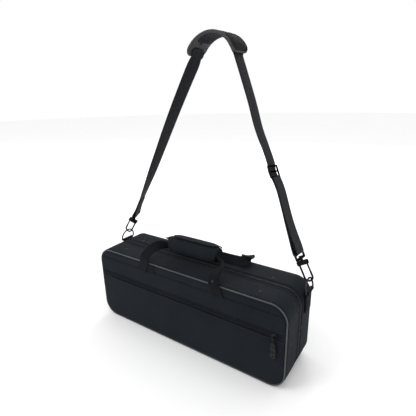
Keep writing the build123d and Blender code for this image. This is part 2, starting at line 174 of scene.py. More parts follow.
def crossed_yarns(tree, along, across, pitch_along, pitch_across):
    """Height, 0 to 1, of a plain weave, and which yarn lies on top."""
    u = math_node(tree, "DIVIDE", along, pitch_along)
    v = math_node(tree, "DIVIDE", across, pitch_across)
    cells = math_node(tree, "ADD", math_node(tree, "FLOOR", u), math_node(tree, "FLOOR", v))
    over = math_node(tree, "PINGPONG", cells, 1.0)
    backs = []
    for value in (u, v):
        offset = math_node(tree, "SUBTRACT", math_node(tree, "FRACT", value), 0.5)
        backs.append(math_node(tree, "MULTIPLY", math_node(tree, "MULTIPLY", offset, offset), 4.0))
    heights = []
    for main, other in (backs, backs[::-1]):
        dome = math_node(tree, "SUBTRACT", 1.0, main)
        dip = math_node(tree, "SUBTRACT", 1.0, math_node(tree, "MULTIPLY", other, 0.4))
        heights.append(math_node(tree, "MULTIPLY", dome, dip))
    mixed = add(tree, "Mix", (over,), data_type="FLOAT")
    for place in (2, 3):
        tree.links.new(heights[place - 2], mixed.inputs[place])
    return mixed.outputs[0], over


def woven(name, dark, light, pitch, rough, relief, sheen=0.02, ribs=None, specular=0.06):
    """Woven cloth: crossed yarns, uneven dye, painted shade in the hollows between yarns, dusty wear
    and a fine relief.
    """
    material, tree, shader = start_material(name, rough, specular, sheen=sheen)
    along, across = cloth_coordinates(tree)
    where = add(tree, "TexCoord").outputs["Object"]
    height, over = crossed_yarns(tree, along, across, *pitch)
    if ribs:
        wave = math_node(tree, "SINE", math_node(tree, "MULTIPLY", across, 2 * pi / ribs))
        lift = stretch(tree, wave, -1, 1)
        height = math_node(tree, "MULTIPLY", height, math_node(tree, "ADD", lift, 0.35))
    patches = stretch(tree, rough_noise(tree, where, 14, 4), 0.35, 0.65)
    specks = stretch(tree, rough_noise(tree, where, 420, 2), 0.3, 0.75)
    share = math_node(tree, "MULTIPLY", math_node(tree, "ADD", patches, specks), 0.36)
    # Darker where the yarns dip: painted shade in the hollows of the weave
    share = math_node(tree, "ADD", share, math_node(tree, "MULTIPLY", height, 0.3))
    colour = blend_colour(tree, share, dark, light)
    edges = stretch(tree, add(tree, "NewGeometry").outputs["Pointiness"], 0.52, 0.6)
    worn = math_node(tree, "MULTIPLY", edges, stretch(tree, specks, 0.2, 0.9, 0, 0.5))
    tint = tuple(1.9 * c for c in light)
    tree.links.new(blend_colour(tree, worn, colour, tint), shader.inputs["Base Color"])
    blotches = math_node(tree, "ADD", patches, over)
    tree.links.new(stretch(tree, blotches, 0, 2, rough - 0.05, rough + 0.06),
                   shader.inputs["Roughness"])
    grain = math_node(tree, "ADD", height, math_node(tree, "MULTIPLY", specks, 0.3))
    bump(tree, shader, grain, relief * MM)
    return material


def metal(name, colour, rough, metallic=1.0, specular=0.5):
    """Painted or plated metal with rounded edges, fine scratches and rubbed corners."""
    material, tree, shader = start_material(name, rough, specular, metallic)
    shader.inputs["Specular Tint"].default_value = (0.3, 0.3, 0.32, 1)
    where = add(tree, "TexCoord").outputs["Object"]
    clouds = rough_noise(tree, where, 160, 4)
    scratch_space = add(tree, "Mapping", (where,))
    scratch_space.inputs["Scale"].default_value = (3500, 350, 350)
    scratches = stretch(tree, rough_noise(tree, scratch_space.outputs[0], 1.0, 2), 0.58, 0.7)
    edges = stretch(tree, add(tree, "NewGeometry").outputs["Pointiness"], 0.52, 0.62)
    bright = tuple(2.8 * c for c in colour)
    rub = math_node(tree, "MULTIPLY", edges, stretch(tree, clouds, 0.35, 0.7, 0, 0.7))
    tree.links.new(blend_colour(tree, rub, colour, bright), shader.inputs["Base Color"])
    level = math_node(tree, "ADD", stretch(tree, clouds, 0.3, 0.7, rough - 0.06, rough + 0.1),
                      math_node(tree, "MULTIPLY", scratches, 0.1))
    tree.links.new(level, shader.inputs["Roughness"])
    rounded = add(tree, "Bevel", (0.35 * MM,))
    lift = add(tree, "Bump", (0.35, 0.02 * MM))
    tree.links.new(scratches, lift.inputs["Height"])
    tree.links.new(rounded.outputs[0], lift.inputs["Normal"])
    tree.links.new(lift.outputs[0], shader.inputs["Normal"])
    return material


def pile(name, dark, light, scale):
    """Short plush: clumped fibres with a soft sheen."""
    material, tree, shader = start_material(name, 0.95, 0.15, sheen=0.15)
    where = add(tree, "TexCoord").outputs["Object"]
    fibres = rough_noise(tree, where, scale, 5)
    clumps = rough_noise(tree, where, scale / 14, 3)
    share = stretch(tree, math_node(tree, "ADD", fibres, clumps), 0.75, 1.25)
    tree.links.new(blend_colour(tree, share, dark, light), shader.inputs["Base Color"])
    bump(tree, shader, math_node(tree, "ADD", fibres, clumps), 0.5 * MM)
    return material


def foam_cells(name, dark, light):
    """Closed-cell foam: packed little bubbles, painted darker on the low rims between them as shade.
    """
    material, tree, shader = start_material(name, 0.85, 0.25)
    where = add(tree, "TexCoord").outputs["Object"]
    cells = add(tree, "TexVoronoi", (where, None, 900)).outputs["Distance"]
    # Light in each bubble and dark on the low rims between bubbles: painted shade
    share = stretch(tree, cells, 0, 0.7)
    tree.links.new(blend_colour(tree, share, light, dark), shader.inputs["Base Color"])
    bump(tree, shader, cells, -0.2 * MM)
    return material


# Each cloth: dark and light colour, yarn pitch along and across in mm, roughness, relief in mm
CASE = woven("case_oxford", (0.0050, 0.0067, 0.0094), (0.0122, 0.0152, 0.0200),
             (0.8, 0.8), 0.8, 0.14)
# The case cloth about a quarter darker: painted shade for the fabric under the case
SHADED_CASE = woven("case_painted_shade", (0.0038, 0.0050, 0.0070), (0.0095, 0.0118, 0.0155),
            (0.8, 0.8), 0.8, 0.14)
PIPING = woven("grey_welt", (0.029, 0.0305, 0.033), (0.071, 0.074, 0.079),
               (0.5, 0.5), 0.55, 0.06, specular=0.3)
WEBBING = woven("ribbed_webbing", (0.0028, 0.0031, 0.0043), (0.0095, 0.0104, 0.0138),
                (1.5, 1.15), 0.75, 0.32, ribs=2.3)
STRAP_WEB = woven("strap_webbing", (0.0062, 0.0066, 0.0082), (0.0160, 0.0168, 0.0205),
                  (1.7, 1.2), 0.7, 0.34, ribs=2.4, specular=0.08)
ZIP_TAPE = woven("zip_tape", (0.0058, 0.0064, 0.0086), (0.0145, 0.0158, 0.0205),
                 (0.6, 1.1), 0.8, 0.14, ribs=1.1)
PAD = woven("pad_knit", (0.0042, 0.0039, 0.0048), (0.0205, 0.0190, 0.0212),
            (1.3, 1.3), 0.75, 0.4)
PAD_LINER = woven("pad_liner", (0.0095, 0.0082, 0.0120), (0.0195, 0.0172, 0.0230),
                  (1.0, 1.0), 0.85, 0.2)
BINDING = woven("binding_tape", (0.023, 0.0235, 0.0262), (0.046, 0.047, 0.051),
                (0.6, 1.2), 0.6, 0.1, specular=0.15)
DARK_BINDING = woven("dark_binding", (0.0040, 0.0050, 0.0070), (0.0110, 0.0130, 0.0165),
                     (0.6, 1.2), 0.6, 0.12)
THREAD = woven("thread", (0.0062, 0.0072, 0.0092), (0.0185, 0.0205, 0.0250),
               (0.3, 0.3), 0.6, 0.05)
COIL = metal("zip_coil_nylon", (0.0092, 0.0104, 0.0132), 0.5, metallic=0.0, specular=0.2)
PULL = metal("pull_gunmetal", (0.021, 0.0212, 0.0215), 0.5)
HARDWARE = metal("black_nickel", (0.011, 0.0115, 0.014), 0.4)
RING_METAL = metal("ring_nickel", (0.042, 0.044, 0.05), 0.34)
RIVET = metal("rivet_steel", (0.05, 0.052, 0.056), 0.45)
PLUSH = pile("plush_lining", (0.006, 0.006, 0.0075), (0.03, 0.03, 0.036), 1500)
FOAM = foam_cells("closed_cell_foam", (0.012, 0.012, 0.013), (0.05, 0.05, 0.052))


# ---- mesh tools
def finish_piece(piece, body, material, replaced=(), sharp=40):
    """Smooth, paint and hang a new piece on its body."""
    piece.data.materials.clear()
    piece.data.materials.append(material)
    piece.data.shade_smooth()
    piece.data.set_sharp_from_angle(angle=radians(sharp))
    if replaced:
        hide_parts(*replaced)
    if body:
        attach(piece, body)
    return piece


def new_object(name, mesh):
    piece = bpy.data.objects.new(name, mesh)
    bpy.context.scene.collection.objects.link(piece)
    return piece


def run_lengths(points, closed=False):
    """Distance along a line of points, with the closing step if it is closed."""
    ends = np.roll(points, -1, axis=0) if closed else points[1:]
    steps = np.linalg.norm(ends - points[: len(ends)], axis=1)
    return np.concatenate(([0.0], np.cumsum(steps)))


def loft(name, rows, close_rows=False, caps=True, turned=False):
    """A mesh through closed rows of points (mm); its weave attribute is mm along and across."""
    rows = np.asarray(rows, float)
    count, width = rows.shape[:2]
    along = run_lengths(rows.mean(axis=1) if not close_rows else rows[:, 0], close_rows)
    across = run_lengths(rows[count // 2], True)
    faces, coords = [], []
    for i in range(count if close_rows else count - 1):
        for j in range(width):
            i2, j2 = (i + 1) % count, (j + 1) % width
            quad = [(i, j, i, j), (i2, j, i + 1, j), (i2, j2, i + 1, j + 1), (i, j2, i, j + 1)]
            if turned:
                quad.reverse()
            faces.append([a * width + b for a, b, _, _ in quad])
            coords += [(along[a], across[b], 0) for _, _, a, b in quad]
    if caps and not close_rows:
        for i in (0, count - 1):
            ring = list(range(width))
            if (i == 0) == turned:
                ring.reverse()
            faces.append([i * width + j for j in ring][::-1])
            coords += [(along[i], across[j], 0) for j in ring][::-1]
    mesh = bpy.data.meshes.new(name)
    mesh.from_pydata((rows.reshape(-1, 3) * MM).tolist(), [], faces)
    attribute = mesh.attributes.new("weave", "FLOAT_VECTOR", "CORNER")
    attribute.data.foreach_set("vector", np.array(coords, np.float32).ravel())
    mesh.validate()
    return new_object(name, mesh)


def wander(x, y, seed=0.0):
    """Smooth noise from -1 to 1."""
    return noise.noise(Vector((x, y, seed)))


def join(pieces, name):
    """Several new objects as one."""
    with bpy.context.temp_override(active_object=pieces[0], selected_editable_objects=pieces):
        bpy.ops.object.join()
    pieces[0].name = pieces[0].data.name = name
    return pieces[0]


# ---- the outline of the big faces
def outline(s):
    """Point and outward normal (x, z) at arc length s, from the middle of the foot to the right."""
    s = s % AROUND
    cx, low, high = HALF - CORNER, CORNER, HEIGHT - CORNER
    pieces = [
        (SIDE_X / 2, (0, 0), (1, 0), None),
        (ARC, (cx, low), None, -90),
        (SIDE_Z, (HALF, low), (0, 1), None),
        (ARC, (cx, high), None, 0),
        (SIDE_X, (cx, HEIGHT), (-1, 0), None),
        (ARC, (-cx, high), None, 90),
        (SIDE_Z, (-HALF, high), (0, -1), None),
        (ARC, (-cx, low), None, 180),
        (SIDE_X / 2 + 1, (-cx, 0), (1, 0), None),
    ]
    for length, start, way, angle in pieces:
        if s <= length:
            break
        s -= length
    if way:
        return (start[0] + way[0] * s, start[1] + way[1] * s), (way[1], -way[0])
    turn = radians(angle + 90 * s / ARC)
    normal = (cos(turn), sin(turn))
    return (start[0] + CORNER * normal[0], start[1] + CORNER * normal[1]), normal


def round_points(start, end, step):
    return np.linspace(start, end, int(round((end - start) / step)) + 1)


def sweep_round(name, profile, start=0, end=None, step=4, shape=None):
    """Sweep a closed profile of (y, outward distance) round the outline; shape(s, y, d) adds to d."""
    whole = end is None
    stations = round_points(0, AROUND, step)[:-1] if whole else round_points(start, end, step)
    rows = []
    for s in stations:
        (x, z), (nx, nz) = outline(s)
        row = []
        for y, d in profile:
            if shape:
                d += shape(s, y, d)
            row.append((x + nx * d, y, z + nz * d))
        rows.append(row)
    return loft(name, rows, close_rows=whole)


def edge_distance(x, z, inset):
    """Distance from a point to the outline drawn in by inset, positive inside."""
    radius = CORNER - inset
    qx = abs(x) - (HALF - CORNER)
    qz = abs(z - HEIGHT / 2) - (HEIGHT / 2 - CORNER)
    outside = np.hypot(max(qx, 0), max(qz, 0))
    return radius - outside - min(max(qx, qz), 0)


# ---- small repeated pieces
def stamp(name, profile_rows, places, body, material, replaced=()):
    """Many copies of a small closed loft; places are (origin, x, y, z) frames in mm."""
    shape = np.array(profile_rows, float)
    count, width = shape.shape[:2]
    base = []
    for i in range(count - 1):
        for j in range(width):
            k = (j + 1) % width
            base.append((i * width + j, i * width + k, (i + 1) * width + k, (i + 1) * width + j))
    base.append(tuple(range(width))[::-1])
    base.append(tuple((count - 1) * width + j for j in range(width)))
    flat = shape.reshape(-1, 3)
    vertices, faces = [], []
    for n, (origin, x, y, z) in enumerate(places):
        turn = np.array((x, y, z), float)
        vertices.append(np.array(origin) + flat @ turn)
        faces += [[v + n * len(flat) for v in face] for face in base]
    mesh = bpy.data.meshes.new(name)
    mesh.from_pydata((np.concatenate(vertices) * MM).tolist(), [], faces)
    piece = new_object(name, mesh)
    return finish_piece(piece, body, material, replaced, 60)


def ring_rows(stations, sides=6, flat=1.0):
    """Rows of a small lathe-like form along x: (x, radius) pairs."""
    turn = [2 * pi * (k + 0.5) / sides for k in range(sides)]
    return [[(x, r * cos(t), flat * r * sin(t)) for t in turn] for x, r in stations]


STITCH = ring_rows([(-1.3, 0.1), (-1.0, 0.26), (0, 0.34), (1.0, 0.26), (1.3, 0.1)], 6, 0.8)


def unit(v):
    v = np.asarray(v, float)
    return v / np.linalg.norm(v)


def stitch_places(points, outward, pitch=STITCH_PITCH):
    """Frames for thread along a polyline that lies on a surface."""
    points = np.asarray(points, float)
    lengths = run_lengths(points)
    places = []
    for s in np.arange(pitch / 2, lengths[-1], pitch):
        i = min(int(np.searchsorted(lengths, s)) - 1, len(points) - 2)
        part = (s - lengths[i]) / max(lengths[i + 1] - lengths[i], 1e-6)
        spot = points[i] + (points[i + 1] - points[i]) * part
        way = unit(points[i + 1] - points[i])
        out = np.asarray(outward[i] if np.ndim(outward) > 1 else outward, float)
        out = unit(out - way * out.dot(way))
        places.append((spot, way, np.cross(out, way), out))
    return places


stitching = {body: [] for body in frame["bodies"]}


# ---- the two halves
def gusset_profile(side):
    """Fabric over the rim of one half, folded under beside the zip and rolled in at the piping."""
    near, far = ZIP_EDGE, FACE - 2 * PIPE_R - 0.3
    top = [(near, -1.0), (near + 0.1, -0.1), (near + 0.6, 0.35), (near + 2, 0.4),
           (near + 2.7, 0.05), (near + 3.2, 0.3)]
    top += [(y, 0.2) for y in np.linspace(near + 6, far - 5, 8)]
    top += [(far - 2.6, 0.1), (far - 1.9, -0.15), (far - 1.2, 0.05), (far - 0.4, -0.3),
            (far, -1.0)]
    under = [(far, -1.9), (far - 12, -1.9), (near + 12, -1.9), (near, -1.9)]
    return [(side * y, d) for y, d in top + under]


def gusset_shape(side):
    def shape(s, y, d):
        if d < -1.5:
            return 0
        mid = (abs(y) - ZIP_EDGE) / (FACE - 4 - ZIP_EDGE)
        belly = max(0, sin(pi * min(max(mid, 0), 1)))
        ripple = 0.35 * wander(s / 55, y / 22, 3 + side) + 0.12 * wander(s / 9, y / 7, 5 + side)
        return belly * (0.25 + ripple)
    return shape


def welt_profile(side):
    """A filled cord in folded fabric, with the flange that is sewn between the panels."""
    centre = FACE - PIPE_R
    ring = [(centre + WELT_R * sin(t), WELT_R * (cos(t) - 1) - 0.3)
            for t in np.linspace(-2.1, 3.6, 12)]
    tail = [(centre - 2.2, -4.6), (centre - 3.0, -4.0)]
    return [(side * y, d) for y, d in ring + tail]


def welt_shape(s, y, d):
    return 0.12 * wander(s / 6, 0, 9) + 0.1 * wander(s / 30, 2, 9)


def lining_profile(side):
    """Plush from behind the zip tape, over the foam's rim and down its inner wall."""
    rim, floor = 5.5, FACE - 11.1
    outer = [(10.8, -2.3), (7, -2.4), (rim + 0.4, -2.6), (rim, -3.6), (rim - 0.3, -7), (rim, -11.4),
             (rim + 0.5, -12.7), (rim + 2, -13.4), (30, -13.5), (floor, -13.5)]
    inner = [(floor, -12.3), (30, -12.4), (rim + 2.4, -12.4), (rim + 0.8, -11), (rim + 0.6, -4),
             (10.8, -3.2)]
    return [(side * y, d) for y, d in outer + inner]


def tape_profile(side, near, far):
    """Zip tape: a thin ribbon that dips between the gusset's hem and the teeth."""
    top = [(near, -0.45), (near + 0.6, -0.2), (near + 2.5, -0.25), (far - 2.5, -0.3),
           (far - 1.8, -1.3), (far, -1.5)]
    under = [(far, -2.1), (near, -1.5)]
    return [(side * y, d) for y, d in top + under]


def strip_profile(side, near, far):
    """Hinge fabric under the zip's lower ends, with its hem beside the gusset."""
    top = [(near, -0.55), (near + 0.8, -0.12), (near + 3, 0.0), (far - 2, -0.05), (far, -0.4)]
    under = [(far, -1.8), (near, -1.8)]
    return [(side * y, d) for y, d in top + under]


def tooth_places(side):
    """Frames of the main zip's teeth: x across to the tape, y along, z outwards."""
    places = []
    first = ZIP_S + 1 + TOOTH_PITCH * (0.25 if side < 0 else 0.75)
    for s in np.arange(first, AROUND - ZIP_S - 1, TOOTH_PITCH):
        (x, z), (nx, nz) = outline(s)
        places.append(((x, 0, z), (0, side, 0), (-nz * side, 0, nx * side), (nx, 0, nz)))
    return places


def tooth_rows(reach, thick, tall):
    """A coil tooth: bulbous head past the middle, loop back to the tape."""
    turn = np.linspace(0, 2 * pi, 7)[:-1]
    stations = ((-0.75, 0.3, 0.4), (-0.45, 1.15, 1.0), (0.35, 1.1, 1.0), (0.9, 0.75, 0.85),
                (reach - 0.4, 0.8, 0.9), (reach, 0.5, 0.6))
    return [[(x, thick * a * cos(t), tall * b * sin(t)) for t in turn] for x, a, b in stations]


def build_half(side):
    body, word = BODY_OF_SIDE[side], WORD[side]
    piece = sweep_round(f"{word}_gusset_cloth", gusset_profile(side), shape=gusset_shape(side))
    finish_piece(piece, body, CASE, [f"{word}_gusset"], 60)
    piece = sweep_round(f"{word}_welt", welt_profile(side), shape=welt_shape, step=3)
    finish_piece(piece, body, PIPING, [f"{word}_piping"], 70)
    piece = sweep_round(f"{word}_lining_wall", lining_profile(side), step=6)
    finish_piece(piece, body, PLUSH, [f"{word}_lining"], 50)
    far = ZIP_EDGE + 0.4
    piece = sweep_round(f"{word}_tape", tape_profile(side, 3.2, far), ZIP_S, AROUND - ZIP_S, 5)
    finish_piece(piece, body, ZIP_TAPE, [f"{word}_zip_tape"])
    first, last = SIDE_X / 2 - 4, ZIP_S - 0.3
    ends = [sweep_round(f"{word}_strip", strip_profile(side, 0.25 - side * 1.15, far), a, b, 3)
            for a, b in ((first, last), (AROUND - last, AROUND - first))]
    # The hinge strips wear the darker copy of the case cloth, which is painted shade
    finish_piece(join(ends, f"{word}_hinge_ends"), body, SHADED_CASE)
    stamp(f"{word}_teeth", tooth_rows(3.6, 0.62, 0.7), tooth_places(side), body, COIL,
          [f"{word}_zip_coil"])
    for y, d in ((ZIP_EDGE + 2.65, 0.35), (FACE - 6.2, 0.2)):
        line, normals = [], []
        for s in round_points(0, AROUND, 4):
            (x, z), (nx, nz) = outline(s)
            line.append((x + nx * d, side * y, z + nz * d))
            normals.append((nx, 0, nz))
        stitching[body] += stitch_places(line, normals)


def hinge_fold():
    """The fabric that joins the halves under the case, along the line where the lid opens."""
    rows = []
    for x in np.linspace(-SIDE_X / 2 + 3, SIDE_X / 2 - 3, 90):
        sag = 0.12 * wander(x / 18, 0, 4)
        top = [(-11.2, 0.45), (-8, 0.12 + sag), (-4, 0.1), (-2.2, 0.25), (-1.15, 0.5), (0, 0.25),
               (2, 0.1), (6, 0.12 + sag), (11.2, 0.45)]
        row = [(x, y, z) for y, z in top]
        row += [(x, y, z + 1.1) for y, z in top[::-1]]
        rows.append(row)
    piece = loft("hinge_cloth", rows, turned=True)
    # The hinge cloth wears the darker copy of the case cloth, which is painted shade
    finish_piece(piece, None, SHADED_CASE, ["front_hinge_strip", "rear_hinge_strip"])
    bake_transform(piece)


# ---- panels of the big faces
def panel_columns(inset, step=6):
    """X positions that follow the rounded corners exactly."""
    radius, cx = CORNER - inset, HALF - CORNER
    corner = [cx + radius * sin(t) for t in np.linspace(0, pi / 2, 14)[1:]]
    middle = list(np.linspace(-cx, cx, int(2 * cx / step)))
    return [-x for x in corner[::-1]] + middle + corner


def panel(name, side, inset, foot, head, relief, thick=1.2, rows_step=5, fine=()):
    """A fabric panel between two heights; relief(x, z) is how far it stands out of its plane.

    fine adds levels of mesh at these heights, where a seam needs them."""
    radius, cx = CORNER - inset, HALF - CORNER
    rows = []
    share = np.linspace(0, 1, max(8, int((head - foot) / rows_step)))
    share = 0.5 - 0.5 * np.cos(pi * share) * (0.65 + 0.35 * np.abs(np.cos(pi * share)))
    for x in panel_columns(inset):
        past = max(abs(x) - cx, 0)
        cut = radius - np.sqrt(max(radius**2 - past**2, 0))
        low, high = max(foot, inset + cut), min(head, HEIGHT - inset - cut)
        if high - low < 1:
            low, high = (low + high) / 2 - 0.5, (low + high) / 2 + 0.5
        levels = np.sort(np.append(low + (high - low) * share, np.clip(fine, low, high)))
        levels = levels + 0.004 * np.arange(len(levels))
        front = [(x, side * (FACE + relief(x, z)), z) for z in levels]
        back = [(px, py - side * thick, pz) for px, py, pz in front[::-1]]
        rows.append(front + back)
    return loft(name, rows, turned=side > 0)


def seam_dip(gap, width=1.6, deep=0.7):
    """A groove across a seam at this distance."""
    return -deep * np.exp(-((gap / width) ** 2))


def tucked(x, z, inset=None):
    """How the cloth turns in beside the piping."""
    e = edge_distance(x, z, PANEL_IN if inset is None else inset)
    return -1.5 * np.exp(-max(e, 0) / 1.3) + 0.25 * np.exp(-(((e - 5) / 2.5) ** 2))


def pucker(x, gap, seed):
    """Little gathers that die away from a zip or a sewn edge."""
    return 0.45 * np.exp(-gap / 9) * wander(x / 6.5, gap / 16, seed)


def pocket_relief(x, z):
    e = edge_distance(x, z, PANEL_IN)
    gap = POCKET_TOP - HEM_BACK - z
    belly = 1.1 * (1 - np.exp(-max(e, 0) / 22)) * (1 - 0.4 * np.exp(-gap / 12))
    hem = 0.45 * np.exp(-((gap / 3.2) ** 4)) - 0.45 * np.exp(-(((gap - 4) / 0.7) ** 2))
    folds = 0.5 * wander(x / 70, z / 40, 11) + 0.12 * wander(x / 16, z / 13, 12)
    return tucked(x, z) + belly + hem + folds * min(1, max(e, 0) / 14) + pucker(x, gap, 13)


def upper_relief(x, z):
    e = edge_distance(x, z, PANEL_IN)
    gap = z - UPPER_FOOT - HEM_BACK
    hem = 0.45 * np.exp(-((gap / 3.2) ** 4)) + seam_dip(gap - 1.8, 0.9, 1.5)
    overlap = 0.5 / (1 + np.exp(-(z - SEAM_Z) / 0.5)) + seam_dip(z - SEAM_Z, 1.5, 2.0)
    folds = 0.35 * wander(x / 60, z / 25, 15) * min(1, max(e, 0) / 12)
    return tucked(x, z) + 0.3 + hem + overlap + folds + pucker(x, gap, 16)


def rear_relief(x, z):
    e = edge_distance(x, z, PANEL_IN)
    belly = 0.9 * (1 - np.exp(-max(e, 0) / 25))
    folds = 0.45 * wander(x / 75, z / 45, 21) + 0.1 * wander(x / 17, z / 14, 22)
    return tucked(x, z) + belly + folds * min(1, max(e, 0) / 14)


def face_pieces():
    inset = PANEL_IN - 0.2
    low, high = POCKET_TOP - HEM_BACK, UPPER_FOOT + HEM_BACK
    near = np.array((0.3, 0.9, 1.4, 1.8, 2.2, 2.7, 3.3, 4.0, 4.7))
    across = np.array((-2.4, -1.2, -0.6, 0, 0.6, 1.2, 2.4))
    piece = panel("pocket_cloth", -1, inset, 0, low, pocket_relief, fine=low - near)
    finish_piece(piece, "front_shell", CASE, ["pocket_panel"], 60)
    piece = panel("upper_cloth", -1, inset, high, HEIGHT, upper_relief, rows_step=1.6,
                  fine=np.append(high + near, SEAM_Z + across))
    finish_piece(piece, "front_shell", CASE, ["front_upper_panel"], 60)
    piece = panel("rear_cloth", 1, inset, 0, HEIGHT, rear_relief)
    finish_piece(piece, "rear_shell", CASE, ["rear_panel"], 60)
    for z in (low - 4, high + 4, SEAM_Z - 2.4):
        relief = pocket_relief if z < POCKET_ZIP_Z else upper_relief
        line = [(x, -FACE - relief(x, z) - 0.1, z) for x in np.linspace(-HALF + 7, HALF - 7, 120)]
        stitching["front_shell"] += stitch_places(line, (0, -1, 0))
    for side in (-1, 1):
        floor = panel(f"{WORD[side]}_lining_floor", side, 13.6, 0, HEIGHT,
                      lambda x, z: -11.2 + 0.3 * wander(x / 30, z / 30, 2), 0.9, 9)
        finish_piece(floor, BODY_OF_SIDE[side], PLUSH)


def pocket_zip():
    """Tape and coil of the pocket zip."""
    length, half = HALF - PANEL_IN - 0.5, (UPPER_FOOT - POCKET_TOP) / 2 + HEM_BACK + 2.5
    slope = [(half, 2.2), (6.4, 2.2), (5.2, 2.1), (4.4, 0.6)]
    section = [(-z, depth) for z, depth in slope] + [(0, 0.5)] + slope[::-1]
    rows = []
    for x in np.linspace(-length, length, 160):
        top = [(x, -FACE + depth + 0.12 * wander(x / 9, z / 3, 5), POCKET_ZIP_Z + z)
               for z, depth in section]
        rows.append(top + [(px, py + 0.6, pz) for px, py, pz in top[::-1]])
    piece = loft("pocket_tape", rows)
    finish_piece(piece, "front_shell", ZIP_TAPE, ["pocket_zip_tape"])
    places = []
    for side in (-1, 1):
        shift = POCKET_TOOTH_PITCH / 2 if side > 0 else 0
        for x in np.arange(-length + 3 + shift, length - 3, POCKET_TOOTH_PITCH):
            places.append(((x, -FACE + 0.1, POCKET_ZIP_Z), (0, 0, side), (side, 0, 0), (0, -1, 0)))
    stamp("pocket_teeth", tooth_rows(2.2, 0.5, 0.6), places, "front_shell", COIL,
          ["pocket_zip_coil"])


# ---- webbing
def through(points, step=3.0):
    """Smooth curve through control points (any number of columns), sampled about every step mm."""
    points = np.asarray(points, float)
    padded = np.vstack((2 * points[0] - points[1], points, 2 * points[-1] - points[-2]))
    out = []
    for i in range(1, len(padded) - 2):
        a, b, c, d = padded[i - 1 : i + 3]
        pieces = max(2, int(np.linalg.norm((c - b)[:3]) / step))
        for t in np.arange(pieces) / pieces:
            out.append(0.5 * (2 * b + (c - a) * t + (2 * a - 5 * b + 4 * c - d) * t * t
                              + (3 * b - a - 3 * c + d) * t**3))
    out.append(points[-1])
    return np.array(out)


def ribbon(name, path, thick=1.8, crown=0.0):
    """A webbing strip. Each path row is x, y, z, then the width direction, then the width."""
    path = np.asarray(path, float)
    centres, sides, widths = path[:, :3], path[:, 3:6], path[:, 6]
    ways = np.gradient(centres, axis=0)
    stations = np.array((-1, -0.985, -0.93, -0.6, -0.2, 0.2, 0.6, 0.93, 0.985, 1))
    bulk = np.array((0.12, 0.42, 0.56, 0.46, 0.5, 0.5, 0.46, 0.56, 0.42, 0.12))
    rows = []
    for n, (centre, way, side, width) in enumerate(zip(centres, ways, sides, widths)):
        way = unit(way)
        side = unit(side - way * side.dot(way))
        up = np.cross(way, side)
        arch = crown[n] if np.ndim(crown) else crown
        row = []
        for face in (1, -1):
            order = slice(None, None, face)
            for a, h in zip(stations[order], bulk[order]):
                lift = face * h * thick - arch * (a * a - 0.33)
                row.append(centre + side * a * width / 2 + up * lift)
        rows.append(row)
    return loft(name, rows, turned=True)


def spine(points, side, width, step=3.0):
    """Path rows for ribbon with one width direction and one width."""
    return through([(*point, *side, width) for point in points], step)


def sewn_box(corners, outward):
    """Thread round a box and across it; corners are four points in order."""
    places = []
    for a, b in ((0, 1), (1, 2), (2, 3), (3, 0), (0, 2), (1, 3)):
        places += stitch_places([corners[a], corners[b]], outward, BOX_STITCH_PITCH)
    return places


def handle_anchors(side):
    """The sewn feet of a handle on a big face."""
    body, word = BODY_OF_SIDE[side], WORD[side]
    y = side * (FACE + 2.2)
    feet = []
    for hand in (-1, 1):
        path = [(hand * 106.5, y - side * 1.6, 165.5), (hand * 105, y, 168.5),
                (hand * 101.4, y + side * 0.4, 177), (hand * 97.2, y, 186),
                (hand * 96, y - side * 0.2, 190.6)]
        feet.append(ribbon(f"{word}_foot", spine(path, (1, 0, 0), 25), 2.0))
        # Beside each foot a doubled webbing tab, part real fold and part painted shade: it stands in
        # for the shadow the raised leg casts on the face
        fold = [(hand * 90 + aside, y - side * deep, z) for aside, deep, z in
                ((10, 2, 165.8), (9.5, 1.2, 169), (9, 1, 178), (8.5, 1.6, 186.5))]
        feet.append(ribbon(f"{word}_fold", spine(fold, (1, 0, 0), 26), 1.6))
        lean = unit((-hand * 10, 0, 20))
        flat = np.array((lean[2], 0, -lean[0]))
        low, high = np.array(path[0]) + lean * 4, np.array(path[0]) + lean * 17
        low[1] = high[1] = side * (FACE + 3.5)
        box = [low - flat * 9.5, low + flat * 9.5, high + flat * 9.5, high - flat * 9.5]
        stitching[body] += sewn_box(box, (0, side, 0))
    finish_piece(join(feet, f"{word}_handle_feet"), body, WEBBING,
                 [f"{word}_handle_anchors"], 50)


def mirrored_path(half, left=None):
    """Spine rows from the right foot of a handle to the left one, which may have its own rows."""
    other = np.array(half if left is None else left)[::-1] * (-1, 1, 1, -1, 1, 1, 1)
    return through(np.vstack((half, other)), 3)


